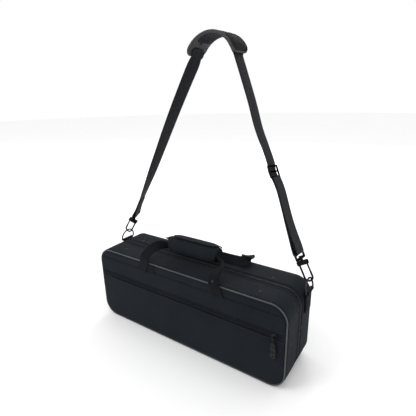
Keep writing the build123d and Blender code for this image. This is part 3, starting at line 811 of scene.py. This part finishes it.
def bend_at_foot(piece):
    """Bake the placement of a handle or a stud into its mesh."""
    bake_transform(piece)


def front_handle():
    """Webbing that rises from the front face, turns on edge and runs through the grip."""
    right = [(96.0, -68.0, 190.4, 1, 0, 0, 25), (93.5, -67.4, 197, 1, -0.03, 0, 25),
             (92.5, -61, 205, 1, -0.1, 0.1, 24.5), (92.5, -50, 210, 0.97, -0.2, 0.25, 24),
             (90.5, -37, 212.5, 0.85, -0.25, 0.5, 23), (85.5, -24, 213, 0.6, -0.3, 0.75, 22),
             (78, -14, 212, 0.3, -0.35, 0.9, 20.5), (69, -8, 211.5, 0.1, -0.4, 0.9, 19.5),
             (58, -4.5, 213, 0, -0.45, 0.88, 18.5), (40, -2, GRIP_Z - 3, 0, -0.5, 0.86, 18.2)]
    left = [(96.0, -68.0, 190.4, 1, 0, 0, 25), (95.5, -67.4, 198, 1, -0.03, 0, 25),
            (94.5, -62, 206.5, 1, -0.1, 0.1, 24.5), (93, -51, 212.5, 0.97, -0.2, 0.2, 24),
            (90.5, -38, 216.5, 0.85, -0.3, 0.45, 23), (86.5, -26, 218.5, 0.6, -0.35, 0.7, 22),
            (80, -15.5, 218, 0.3, -0.35, 0.9, 20.5), (71, -9, 215.5, 0.1, -0.4, 0.9, 19.5),
            (59, -5, 215, 0, -0.45, 0.88, 18.5), (40, -2, GRIP_Z - 3, 0, -0.5, 0.86, 18.2)]
    path = mirrored_path(right, left)
    inner = np.clip(1 - np.abs(np.abs(path[:, 0]) - 82) / 14, 0, 1)
    piece = ribbon("front_handle_strap", path, 2.2, crown=2.0 * inner)
    finish_piece(piece, None, WEBBING, ["front_handle_webbing"], 50)
    bend_at_foot(piece)


def rear_handle():
    """The rear loop, flopped down on the case behind the grip."""
    half = [(97.5, 68.2, 190.4, 1, 0, 0, 25), (99.5, 67.6, 197, 1, 0.08, 0, 25),
            (104, 64, 202.5, 1, 0.3, 0.1, 25), (110.5, 57, 206, 0.85, 0.65, 0.2, 25),
            (116, 48.5, 206.4, 0.55, 0.9, 0.35, 25), (116, 40.5, 204, 0.2, 0.9, 0.6, 25),
            (105, 35.8, 200.6, 0, 0.85, 0.62, 25), (84, 34.2, 199.2, 0, 0.83, 0.6, 25),
            (50, 33.9, 199, 0, 0.82, 0.58, 25), (20, 34, 198.8, 0, 0.82, 0.56, 25)]
    left = [(97.5, 68.2, 190.4, 1, 0, 0, 25), (99.5, 67.6, 196, 1, 0.08, 0, 25),
            (103, 63.5, 199.8, 1, 0.3, 0.1, 25), (108, 56, 201.4, 0.85, 0.6, 0.15, 25),
            (112.5, 47.5, 200.6, 0.5, 0.9, 0.2, 25), (112.5, 40.5, 199.6, 0.15, 0.9, 0.35, 25),
            (104, 36, 199, 0, 0.88, 0.5, 25), (84, 34.2, 199, 0, 0.83, 0.6, 25),
            (50, 33.9, 199, 0, 0.82, 0.58, 25), (20, 34, 198.8, 0, 0.82, 0.56, 25)]
    piece = ribbon("rear_handle_strap", mirrored_path(half, left), 2.0, crown=0.6)
    finish_piece(piece, None, WEBBING, ["rear_handle_webbing"], 50)
    bend_at_foot(piece)


# ---- inflating padded pieces
def inflate(piece, pinned, cap, voxel, pressure=4.0, steps=20):
    """Remesh a form and puff it with a short cloth run; pinned(co) and the cap in mm hold it."""
    remesh = piece.modifiers.new("remesh", "REMESH")
    remesh.mode, remesh.voxel_size = "VOXEL", voxel * MM
    apply_modifiers(piece)
    rest = np.array([v.co for v in piece.data.vertices])
    cloth = piece.modifiers.new("cloth", "CLOTH")
    cloth.settings.use_pressure = True
    cloth.settings.uniform_pressure_force = pressure
    cloth.settings.effector_weights.gravity = 0
    cloth.settings.tension_stiffness = cloth.settings.compression_stiffness = 25
    cloth.settings.bending_stiffness = 1.5
    cloth.point_cache.frame_start, cloth.point_cache.frame_end = 1, steps
    for n in range(1, steps + 1):
        bpy.context.scene.frame_set(n)
    graph = bpy.context.evaluated_depsgraph_get()
    puffed = np.array([v.co for v in piece.evaluated_get(graph).data.vertices])
    piece.modifiers.clear()
    bpy.context.scene.frame_set(1)
    move = puffed - rest
    size = np.linalg.norm(move, axis=1, keepdims=True)
    move *= np.minimum(1, cap * MM / np.maximum(size, 1e-9))
    hold = np.array([[pinned(co / MM)] for co in rest])
    piece.data.vertices.foreach_set("co", (rest + move * (1 - hold)).ravel())
    piece.data.update()


def apply_modifiers(piece):
    graph = bpy.context.evaluated_depsgraph_get()
    mesh = bpy.data.meshes.new_from_object(piece.evaluated_get(graph))
    piece.modifiers.clear()
    piece.data = mesh


def soften(piece, rounds, factor=0.5, subdivide=0):
    smooth = piece.modifiers.new("smooth", "SMOOTH")
    smooth.factor, smooth.iterations = factor, rounds
    if subdivide:
        sub = piece.modifiers.new("subdivision", "SUBSURF")
        sub.levels = sub.render_levels = subdivide
    apply_modifiers(piece)


def wrinkle(piece, shape):
    """Move each point along its normal by shape(x, y, z) mm."""
    mesh = piece.data
    for vertex, normal in zip(mesh.vertices, [n.vector.copy() for n in mesh.vertex_normals]):
        vertex.co += normal * shape(*(vertex.co / MM)) * MM
    mesh.update()


def mark_weave(piece, along, across):
    """Weave coordinates for a remeshed piece from two functions of position."""
    mesh = piece.data
    attribute = mesh.attributes.new("weave", "FLOAT_VECTOR", "POINT")
    values = [(along(*(v.co / MM)), across(*(v.co / MM)), 0) for v in mesh.vertices]
    attribute.data.foreach_set("vector", np.array(values, np.float32).ravel())


# ---- grip
def grip_section(depth, height, count=28):
    """Closed section of the roll: a little squarer than an ellipse."""
    points = []
    for t in np.linspace(0, 2 * pi, count + 1)[:-1]:
        c, s = cos(t), sin(t)
        y = depth * np.sign(c) * abs(c) ** 0.92
        z = height * np.sign(s) * abs(s) ** 0.92
        points.append((y, z))
    return points


def grip_taper(x):
    """Share of its full girth that the roll keeps towards its ends."""
    past = max(0.0, (abs(x) - 38) / (GRIP_X - 38))
    return 1 - 0.2 * past**2


def grip():
    ends = ((5, 0.4), (1.5, 0.5), (0.4, 0.85), (1.2, 0.95))
    stations = [(-GRIP_X + back, share) for back, share in ends]
    stations += [(x, 1.0) for x in np.linspace(-GRIP_X + 5, GRIP_X - 5, 24)]
    stations += [(GRIP_X - back, share) for back, share in ends[::-1]]
    rows = []
    for x, share in stations:
        share *= grip_taper(x)
        rows.append([(x, y * share, GRIP_Z + z * share)
                     for y, z in grip_section(GRIP_Y - 1.2, GRIP_H - 1.4)])
    piece = loft("grip_roll", rows)
    inflate(piece, lambda co: 1 - min(1, max(0, (GRIP_X - 3 - abs(co[0])) / 16)), 2.4, 3.0)
    soften(piece, 4, 0.5, 1)

    def creases(x, y, z):
        low = max(0, -(z - GRIP_Z) / GRIP_H)
        depth = 0.5 * wander(x / 28, z / 9, 31) + 0.3 * low * wander(x / 7, y / 30, 32)
        return depth * (1 - max(0, abs(x) - 56) / 10)

    wrinkle(piece, creases)
    mark_weave(piece, lambda x, y, z: x, lambda x, y, z: 22 * np.arctan2(z - GRIP_Z, y))
    finish_piece(piece, "front_handle", CASE, ["grip_wrap"], 70)
    bands = []
    section = grip_section(GRIP_Y - 1.7, GRIP_H - 1.1, 40)
    for hand in (-1, 1):
        shell = []
        for back, out in ((5.5, 0.1), (5.2, 0.9), (0.9, 0.8), (-0.3, -0.2), (-0.2, -2.2), (1, -2.6)):
            x, scale = GRIP_X - back, (1 + out / GRIP_Y) * grip_taper(GRIP_X - back)
            shell.append([(hand * x, y * scale, GRIP_Z + z * scale) for y, z in section])
        band = loft("grip_band", shell, caps=False, turned=hand > 0)
        solid = band.modifiers.new("solid", "SOLIDIFY")
        solid.thickness = 0.6 * MM
        apply_modifiers(band)
        bands.append(band)
    finish_piece(join(bands, "grip_bindings"), "front_handle", DARK_BINDING, (), 60)


def flap_point(x, t):
    """A point on the flap: t runs from its front edge, over the top and down the back."""
    top = GRIP_Z + GRIP_H + 1.1
    front, bend, radius = -6.0, 2.75, GRIP_H + 1.1
    if t < bend - front:
        y, z, out = front + t, top, np.array((0, 0, 1.0))
    else:
        angle = (t - (bend - front)) / radius
        y, z = bend + radius * sin(angle), top - radius * (1 - cos(angle))
        out = np.array((0, sin(angle), cos(angle)))
    share = grip_taper(x)
    return np.array((x, y * share, GRIP_Z + (z - GRIP_Z) * share - 0.012 * y * y * (y < 0))), out


def grip_flap():
    """The hook-and-loop flap over the roll, bound round its edge."""
    half, reach, corner = GRIP_X - 2.5, 29.0, 20.0
    rows = []
    for x in np.linspace(-half, half, 60):
        gone = max(0, abs(x) - (half - corner))
        start = corner - np.sqrt(max(corner**2 - gone**2, 0))
        upper, lower = [], []
        for t in np.linspace(start, reach, 22):
            spot, out = flap_point(x, t)
            lift = 0.35 * wander(x / 22, t / 12, 41) * min(1, t / 6) + 0.35
            upper.append(spot + out * (lift + 0.9))
            lower.append(spot + out * (lift - 0.5))
        rows.append(upper + lower[::-1])
    piece = loft("flap_cloth", rows)
    finish_piece(piece, "grip_flap", CASE, ["grip_flap"], 60)
    left = [(-half, t) for t in (reach, 26, 23, corner)]
    left += [(-half + corner * (1 - cos(a)), corner * (1 - sin(a)))
             for a in np.linspace(0.2, 1.4, 5)]
    front = [(x, 0) for x in np.linspace(-half + corner, half - corner, 16)]
    border = through(left + front + [(-x, t) for x, t in left[::-1]], 2.0)
    line, normals = zip(*[flap_point(x, max(t, 0)) for x, t in border])
    line = np.array(line) + np.array(normals) * 0.5
    tube_rows = []
    for spot, way, out in zip(line, np.gradient(line, axis=0), normals):
        side = unit(np.cross(way, out))
        tube_rows.append([spot + side * 1.5 * cos(a) + out * 1.35 * sin(a)
                          for a in np.linspace(0, 2 * pi, 11)[:-1]])
    piece = loft("flap_binding", tube_rows)
    finish_piece(piece, "grip_flap", DARK_BINDING, (), 70)


# ---- shoulder strap
LEAN = radians(7.7)  # the strap's plane leans back this far
STRAP_O = np.array((0, 36.0, 182.0))
STRAP_X = np.array((1.0, 0, 0))
STRAP_UP = np.array((0, sin(LEAN), cos(LEAN)))
STRAP_OUT = np.array((0, -cos(LEAN), sin(LEAN)))
PAD_X, PAD_S, PAD_R, PAD_TURN = 4.0, 441.5, 60.0, radians(73.4)
PAD_END = PAD_TURN * PAD_R  # arc from the pad's crown to its end
PAD_HALF, PAD_T, PAD_CORNER = 34.0, 9.0, 17.0
TONGUE_TURN = 0.95  # where the webbing ends on the pad's inner face
WEB = 38.0
EYE_BAR = 55.1  # from the ring's contact point to the bar that holds the webbing
LOOP_R = 4.1  # middle of the webbing round that bar
GLIDE = 171.0  # the tri-glide's place along the right leg
FRONT = np.array((0, -1.0, 0))


def strap_point(x, s, w=0.0):
    """A point of the leaning strap plane; w runs level towards the front."""
    return STRAP_O + STRAP_X * x + STRAP_UP * s + FRONT * w


def pad_point(turn, w, out):
    """A point at this angle from the pad's crown, w across it and out from its middle surface."""
    r = PAD_R + out
    return strap_point(PAD_X + r * sin(turn), PAD_S + r * cos(turn), w)


def pad_half_width(turn):
    """Half width of the pad at an angle: rounded ends."""
    gone = min(max(0, abs(turn) * PAD_R - (PAD_END - PAD_CORNER)), PAD_CORNER)
    return PAD_HALF - (PAD_CORNER - np.sqrt(PAD_CORNER**2 - gone**2))


def shoulder_pad():
    rows = []
    for turn in np.linspace(-PAD_TURN + 0.02, PAD_TURN - 0.02, 44):
        half = pad_half_width(turn) - 1.2
        end = min(1, (PAD_END - abs(turn) * PAD_R) / 9 + 0.25)
        row = []
        for face, fill in ((1, 2.2), (-1, 1.4)):
            for a in np.linspace(-1, 1, 17)[::face]:
                full = (1 - abs(a) ** 4) ** 0.5
                row.append(pad_point(turn, a * half, face * (1.6 + fill * full * end)))
        rows.append(row)
    piece = loft("pad_body", rows, turned=True)

    def pinned(co):
        x, y, z = co
        s = (Vector(co) - Vector(STRAP_O)).dot(Vector(STRAP_UP))
        turn = np.arctan2(x - PAD_X, s - PAD_S)
        w = -(y - (STRAP_O + STRAP_UP * s)[1])
        rim = min(pad_half_width(turn) - abs(w), (PAD_TURN - abs(turn)) * PAD_R)
        inner = 0.5 if np.hypot(x - PAD_X, s - PAD_S) < PAD_R else 0.0
        return 1 - min(1, max(0, (rim - 6) / 10)) * (1 - inner)

    inflate(piece, pinned, 3.2, 3.5)
    soften(piece, 3, 0.5, 1)

    def creases(x, y, z):
        s = (z - STRAP_O[2]) / STRAP_UP[2]
        turn = np.arctan2(x - PAD_X, s - PAD_S)
        fold = sum(deep * np.exp(-(((turn - at) * PAD_R + (y - 90) * 0.35) / 2.0) ** 2)
                   for at, deep in ((0.42, 0.7), (0.62, 1.9), (-0.35, 0.7), (0.05, 0.7)))
        outer = 1.0 if np.hypot(x - PAD_X, s - PAD_S) > PAD_R + 1 else 0.15
        return outer * (0.35 * wander(x / 9, y / 9, 51) - fold)

    wrinkle(piece, creases)
    mark_weave(piece, lambda x, y, z: y, lambda x, y, z: x + z)
    finish_piece(piece, "strap", PAD, ["shoulder_pad"], 80)
    pad_binding()
    pad_inside()


def pad_rim():
    """The pad's rim as (way along the arc, way across) going all the way round."""
    middle, side = PAD_END - PAD_CORNER, PAD_HALF - PAD_CORNER
    bend = np.linspace(0.15, pi / 2, 8)
    rim = [(a, -PAD_HALF) for a in np.linspace(-middle, middle, 60)]
    rim += [(middle + PAD_CORNER * sin(t), -PAD_HALF + PAD_CORNER * (1 - cos(t))) for t in bend]
    rim += [(PAD_END, w) for w in np.linspace(-side, side, 12)[1:]]
    rim += [(PAD_END - PAD_CORNER * (1 - cos(t)), side + PAD_CORNER * sin(t)) for t in bend]
    return np.array(rim + [(-a, -w) for a, w in rim])


def pad_binding():
    """Grey tape folded round the rim of the pad, wider on its inner face."""
    rim = pad_rim()
    keep = [0]
    for n in range(1, len(rim)):
        if np.linalg.norm(rim[n] - rim[keep[-1]]) > 1.2:
            keep.append(n)
    rim = rim[keep]
    ways = np.roll(rim, -1, axis=0) - np.roll(rim, 1, axis=0)
    section = [(2.0, 2.7), (1.8, 3.3), (0.8, 2.9), (-0.6, 1.4), (-0.6, -1.4), (1.0, -3.0),
               (4.6, -3.9), (4.8, -3.0), (2, -2.2), (0.4, 0), (1.2, 2.0)]
    rows = []
    for (a, w), way in zip(rim, ways):
        across, along = unit(way)
        ruffle = 0.25 * wander(a / 5, w / 5, 61)
        rows.append([pad_point((a - along * deep) / PAD_R, w + across * deep, out + ruffle)
                     for deep, out in section])
    piece = loft("pad_binding", rows, close_rows=True)
    finish_piece(piece, "strap", BINDING, (), 60)


def pad_layer(name, end, margin, corner, near, far, material):
    """A sheet on the pad's inner face that ends at this angle with rounded corners."""
    stations = np.linspace(-1, 1, 15)
    rows = []
    for turn in np.linspace(-end, end, 56):
        left = (end - abs(turn)) * PAD_R
        cut = corner - np.sqrt(max(corner**2 - max(corner - left, 0) ** 2, 0))
        half = pad_half_width(turn) - margin - cut
        outer, inner = [], []
        for a in stations:
            fade = min(1, left / 5) * max(0, 1 - a**4)
            swell = fade * (0.8 + 0.3 * wander(turn * 9, a * 3, 63))
            outer.append(pad_point(turn, a * half, far - swell))
            inner.append(pad_point(turn, a * half, near))
        rows.append(outer + inner[::-1])
    finish_piece(loft(name, rows), "strap", material, (), 60)


def pad_inside():
    """On the inner face: the grey backing, a dark liner and the webbing ends sewn under it."""
    pad_layer("pad_backing", 1.2, 3.4, 8.0, -2.6, -3.9, BINDING)
    pad_layer("pad_liner_cloth", 0.7, 5.6, 12.0, -4.0, -4.9, PAD_LINER)
    tongues = []
    for hand in (-1, 1):
        line = []
        for share in np.linspace(1, 0, 12):
            turn = hand * (TONGUE_TURN + share * (PAD_TURN + 0.03 - TONGUE_TURN))
            width = np.interp(share, (0, 0.1, 0.3, 0.6, 0.85, 1), (22, 37, 46, 48, 44, WEB))
            line.append((*pad_point(turn, 0, -6.0), 0, 1, 0, width))
        tongues.append(ribbon("tongue", line))
    finish_piece(join(tongues, "pad_webbing_ends"), "strap", STRAP_WEB,
                 ["strap_pad_webbing"], 50)


def leg_frame(side, twist):
    """Ring contact, hook axis and width direction of a leg, as the CAD places them."""
    tilt, turn = radians(30), radians(twist)
    axis = STRAP_X * (-side * sin(tilt)) + STRAP_UP * cos(tilt)
    inward = STRAP_X * (-side * cos(tilt)) - STRAP_UP * sin(tilt)
    spin = turn if side < 0 else -turn
    solid = inward * cos(spin) - STRAP_OUT * sin(spin)
    origin = STRAP_O + STRAP_X * side * 255 + STRAP_UP * 20.8
    return origin, axis, np.cross(solid, axis)


def leg_line(side, twist):
    """A leg from its eye's bar to the pad: bar, way up, length, width way there and level one."""
    origin, axis, across = leg_frame(side, twist)
    bar = origin + axis * EYE_BAR
    web_r = PAD_R - PAD_T / 2 - 1.2
    top = strap_point(PAD_X + side * web_r * sin(PAD_TURN), PAD_S + web_r * cos(PAD_TURN))
    up = unit(top - bar)
    level = unit(FRONT - up * FRONT.dot(up))
    return bar, up, np.linalg.norm(top - bar), unit(across - up * across.dot(up)), level


def left_leg():
    bar, up, length, width_dir, level = leg_line(-1, 25)
    aside = unit(np.cross(up, width_dir))
    stitched, settle = 50, 1.25
    arm = [(share * stitched, settle + (LOOP_R - settle) * max(0, 1 - share * stitched / 26) ** 1.5)
           for share in np.linspace(1, 0.12, 8)]
    points = [bar + up * rise - aside * gap for rise, gap in arm]
    points += [bar - aside * LOOP_R * cos(a) - up * LOOP_R * sin(a) for a in np.linspace(0, pi, 9)]
    points += [bar + up * rise + aside * gap for rise, gap in arm[::-1]]
    piece = ribbon("left_strap_end", spine(points, width_dir, WEB - 0.6, 2.5), 1.7)
    finish_piece(piece, "strap", STRAP_WEB, ["strap_left_end"], 50)
    for face in (-1, 1):
        surface = bar + aside * face * 2.25
        low, high, half = surface + up * 16, surface + up * 46, width_dir * 15
        stitching["strap"] += sewn_box([low - half, low + half, high + half, high - half],
                                       aside * face)
    start = bar + up * 47
    length -= 47
    if width_dir.dot(level) < 0:
        width_dir = -width_dir
    rows = []
    for share in (0, 0.06, 0.14, 0.25, 0.4, 0.55, 0.7, 0.85, 0.95, 1):
        twist = 0.18 * min(1, 4 * share, 20 * (1 - share))
        turned = unit(width_dir * (1 - share) ** 1.5 + level * (1 - (1 - share) ** 1.5)
                      - STRAP_X * twist)
        bow = STRAP_X * -2.5 * sin(pi * share) - FRONT * 1.5 * sin(2 * pi * share)
        rows.append((*(start + up * share * length + bow), *turned, WEB))
    piece = ribbon("left_strap_web", through(rows, 4), crown=0.5)
    finish_piece(piece, "strap", STRAP_WEB, ["strap_left_webbing"], 50)


def right_leg():
    bar, up, length, width_dir, level = leg_line(1, 0)
    aside = unit(np.cross(up, width_dir))
    if aside[0] < 0:
        aside, width_dir = -aside, -width_dir
    if level.dot(width_dir) < 0:
        level = -level

    def at(u, gap):
        """A point this far up the leg, which wanders sideways except beside the tri-glide."""
        share = u / length
        wave = (3.0 * sin(2 * pi * share) - 2.2 * sin(4.3 * pi * share)) * sin(pi * share)
        return bar + up * u + aside * (gap + wave * (1 - np.exp(-(((u - GLIDE) / 30) ** 2))))

    foot = [(90, 1.0), (60, 1.5), (35, 2.6), (16, 3.8), (5, LOOP_R)]
    loop = [at(u, gap) for u, gap in [(GLIDE - 12, 1.6), (GLIDE - 40, 1.1)] + foot]
    loop += [bar + aside * LOOP_R * cos(a) - up * LOOP_R * sin(a)
             for a in np.linspace(0.3, pi - 0.3, 7)]
    loop += [at(u, -gap) for u, gap in foot[::-1]]
    loop += [at(GLIDE + u, -gap) for u, gap in ((-40, 1.1), (-14, 1.2), (-9, 2.6), (0, 3.2),
                                                (9, 2.4), (16, 0.8), (40, 0))]
    loop += [at(u, 0) for u in (0.62 * length, 0.75 * length, 0.88 * length, length - 2)]
    loop = np.array(loop)
    share = np.clip(((loop - bar) @ up - GLIDE) / (length - GLIDE), 0, 1)[:, None]
    sides = width_dir * (1 - share) + level * share
    rows = np.column_stack((loop, sides, np.full(len(loop), WEB - 0.4)))
    piece = ribbon("right_strap_web", through(rows, 3), 1.7, crown=0.3)
    finish_piece(piece, "strap", STRAP_WEB, ["strap_right_webbing"], 50)


# ---- ring tabs, rivets, hardware
def ring_tabs():
    bar_x, bar_z, y = 259.2, 176.0, STRAP_O[1]
    for side, word in ((-1, "left"), (1, "right")):
        points = [(258.3, 131), (258.3, 150), (258.4, 166), (259.4, 171)]
        points += [(bar_x + 3.1 * cos(a), bar_z + 3.1 * sin(a)) for a in np.linspace(-1.0, pi, 9)]
        points += [(256.1, 170), (255.9, 150), (255.9, 131)]
        path = [(side * x, y, z) for x, z in points]
        piece = ribbon(f"{word}_tab_web", spine(path, (0, 1, 0), 31.6, 2.0), 1.7)
        finish_piece(piece, "rear_shell", WEBBING, [f"{word}_ring_tab"], 50)
        corners = [(side * 259.5, y + across, z)
                   for across, z in ((-12.5, 134), (12.5, 134), (12.5, 162), (-12.5, 162))]
        stitching["rear_shell"] += sewn_box(corners, (side, 0, 0))


def rivets():
    """Domed studs on the top and the ends, seated on a thin washer."""
    profile = [(-0.4, 4.3), (0.35, 4.3), (0.55, 4.0), (0.6, 3.4), (1.3, 3.1), (1.8, 2.3),
               (2.05, 1.2), (2.1, 0.3)]
    for side, top_y, end_y in ((-1, 38, 45), (1, 23, 15)):
        places = [((x, side * top_y, HEIGHT), (0, 0, 1), (1, 0, 0), (0, 1, 0))
                  for x in (-185, 185)]
        places += [((hand * HALF, side * end_y, 100), (hand, 0, 0), (0, hand, 0), (0, 0, 1))
                   for hand in (-1, 1)]
        stamp(f"{WORD[side]}_studs", ring_rows(profile, 20), places, BODY_OF_SIDE[side], RIVET,
              [f"{WORD[side]}_rivets"])
    small = [(x * 0.8, r * 0.62) for x, r in profile]
    places = [((92.8, -68.3, 197.5), (0, -1, 0), (1, 0, 0), (0, 0, 1))]
    stud = stamp("leg_stud", ring_rows(small, 18), places, None, RIVET)
    bend_at_foot(stud)


def paint_cad():
    """Materials for the CAD nodes that stay as they are."""
    for word in ("left", "right"):
        paint(f"{word}_d_ring", RING_METAL)
        for node in ("snap_hook", "hook_gate", "swivel_eye"):
            paint(f"{word}_{node}", HARDWARE)
    paint("tri_glide_slider", HARDWARE)
    for word in ("main", "pocket"):
        paint(f"{word}_zip_slider", PULL)
        paint(f"{word}_zip_pull", PULL)
    for word in ("front", "rear"):
        paint(f"{word}_foam_core", FOAM)


def paint(node, material):
    mesh = nodes[node].data
    mesh.materials.clear()
    mesh.materials.append(material)
    mesh.shade_smooth()
    mesh.set_sharp_from_angle(angle=radians(32))


# ---- inside
def instrument_bed():
    """The fitted bed under plush: soft rounded edges round the recesses."""
    piece = new_object("plush_bed", nodes["instrument_bed"].data.copy())
    remesh = piece.modifiers.new("remesh", "REMESH")
    remesh.mode, remesh.voxel_size = "VOXEL", 3.6 * MM
    apply_modifiers(piece)
    soften(piece, 9, 0.6)

    def settle(x, y, z):
        return 0.5 * wander(x / 25, z / 25, 71) + 0.2 * wander(x / 6, (y + z) / 6, 72)

    wrinkle(piece, settle)
    finish_piece(piece, "rear_shell", PLUSH, ["instrument_bed"], 80)
    strips = []
    for x in (-110, 70):
        low, high = HEIGHT / 2 - 75, HEIGHT / 2 + 75
        path = [(x, 13.0, low), (x, 12.0, low + 8), (x, 11.4, HEIGHT / 2), (x, 12.0, high - 8),
                (x, 13.0, high)]
        strips.append(ribbon("hold_down", spine(path, (1, 0, 0), 30, 4)))
    finish_piece(join(strips, "hold_down_webs"), "rear_shell", WEBBING,
                 ["hold_down_straps"], 50)


# ---- staging
def area_light(name, at, aim, size, power):
    data = bpy.data.lights.new(name, "AREA")
    data.shape, data.size, data.energy = "DISK", size, power
    lamp = bpy.data.objects.new(name, data)
    lamp.location = at
    lamp.rotation_euler = (Vector(aim) - Vector(at)).to_track_quat("-Z", "Y").to_euler()
    bpy.context.scene.collection.objects.link(lamp)


def staging():
    scene = bpy.context.scene
    scene.view_settings.view_transform = "Standard"
    world = bpy.data.worlds.new("studio")
    world.use_nodes = True
    sky = world.node_tree.nodes["Background"]
    sky.inputs[0].default_value, sky.inputs[1].default_value = (1, 1, 1, 1), 1.0
    scene.world = world
    material, tree, shader = start_material("studio_floor", 0.9, 0.1)
    where = add(tree, "TexCoord").outputs["Object"]
    paper = blend_colour(tree, rough_noise(tree, where, 3.0), (0.93,) * 3, (0.96,) * 3)
    tree.links.new(paper, shader.inputs["Base Color"])
    mesh = bpy.data.meshes.new("floor")
    form = bmesh.new()
    bmesh.ops.create_circle(form, cap_ends=True, cap_tris=False, segments=96, radius=9.0)
    form.to_mesh(mesh)
    form.free()
    floor = new_object("studio_floor", mesh)
    floor.location.z = -0.0012
    mesh.materials.append(material)
    for name, at, aim, size, power in (
            ("key", (-1.6, -2.2, 2.6), (0, 0, 0.15), 1.6, 32),
            ("side", (2.4, -0.6, 1.2), (0.1, 0, 0.15), 1.4, 2.5),
            ("over", (0.1, 0.5, 3.0), (0, 0, 0.2), 1.8, 7),
            ("back", (-0.8, 2.8, 1.2), (0, 0, 0.12), 1.6, 26)):
        area_light(name, at, aim, size, power)


def camera():
    """The photograph's view: 34 degrees round to the right, 18 degrees down."""
    azimuth, elevation, roll = 0.597225, 0.320078, -0.0208086
    distance, target = 0.750892, Vector((0.0395474, 0, 0.3252926))
    back = Vector((sin(azimuth) * cos(elevation), -cos(azimuth) * cos(elevation), sin(elevation)))
    right = Vector((cos(azimuth), sin(azimuth), 0))
    up = back.cross(right)
    right, up = right * cos(roll) + up * sin(roll), up * cos(roll) - right * sin(roll)
    data = bpy.data.cameras.new("camera")
    data.sensor_width, data.lens = 36.0, 30.349
    data.clip_start = 0.01
    view = bpy.data.objects.new("camera", data)
    turn = Matrix((right, up, back)).transposed().to_4x4()
    view.matrix_world = Matrix.Translation(target + back * distance) @ turn
    bpy.context.scene.collection.objects.link(view)
    bpy.context.scene.camera = view


# ---- build
camera()
staging()
paint_cad()
for half_side in (-1, 1):
    build_half(half_side)
    handle_anchors(half_side)
hinge_fold()
face_pieces()
pocket_zip()
front_handle()
rear_handle()
grip()
grip_flap()
shoulder_pad()
left_leg()
right_leg()
ring_tabs()
rivets()
instrument_bed()
for body_name, thread_places in stitching.items():
    if thread_places:
        stamp(f"{body_name}_thread", STITCH, thread_places, body_name, THREAD)
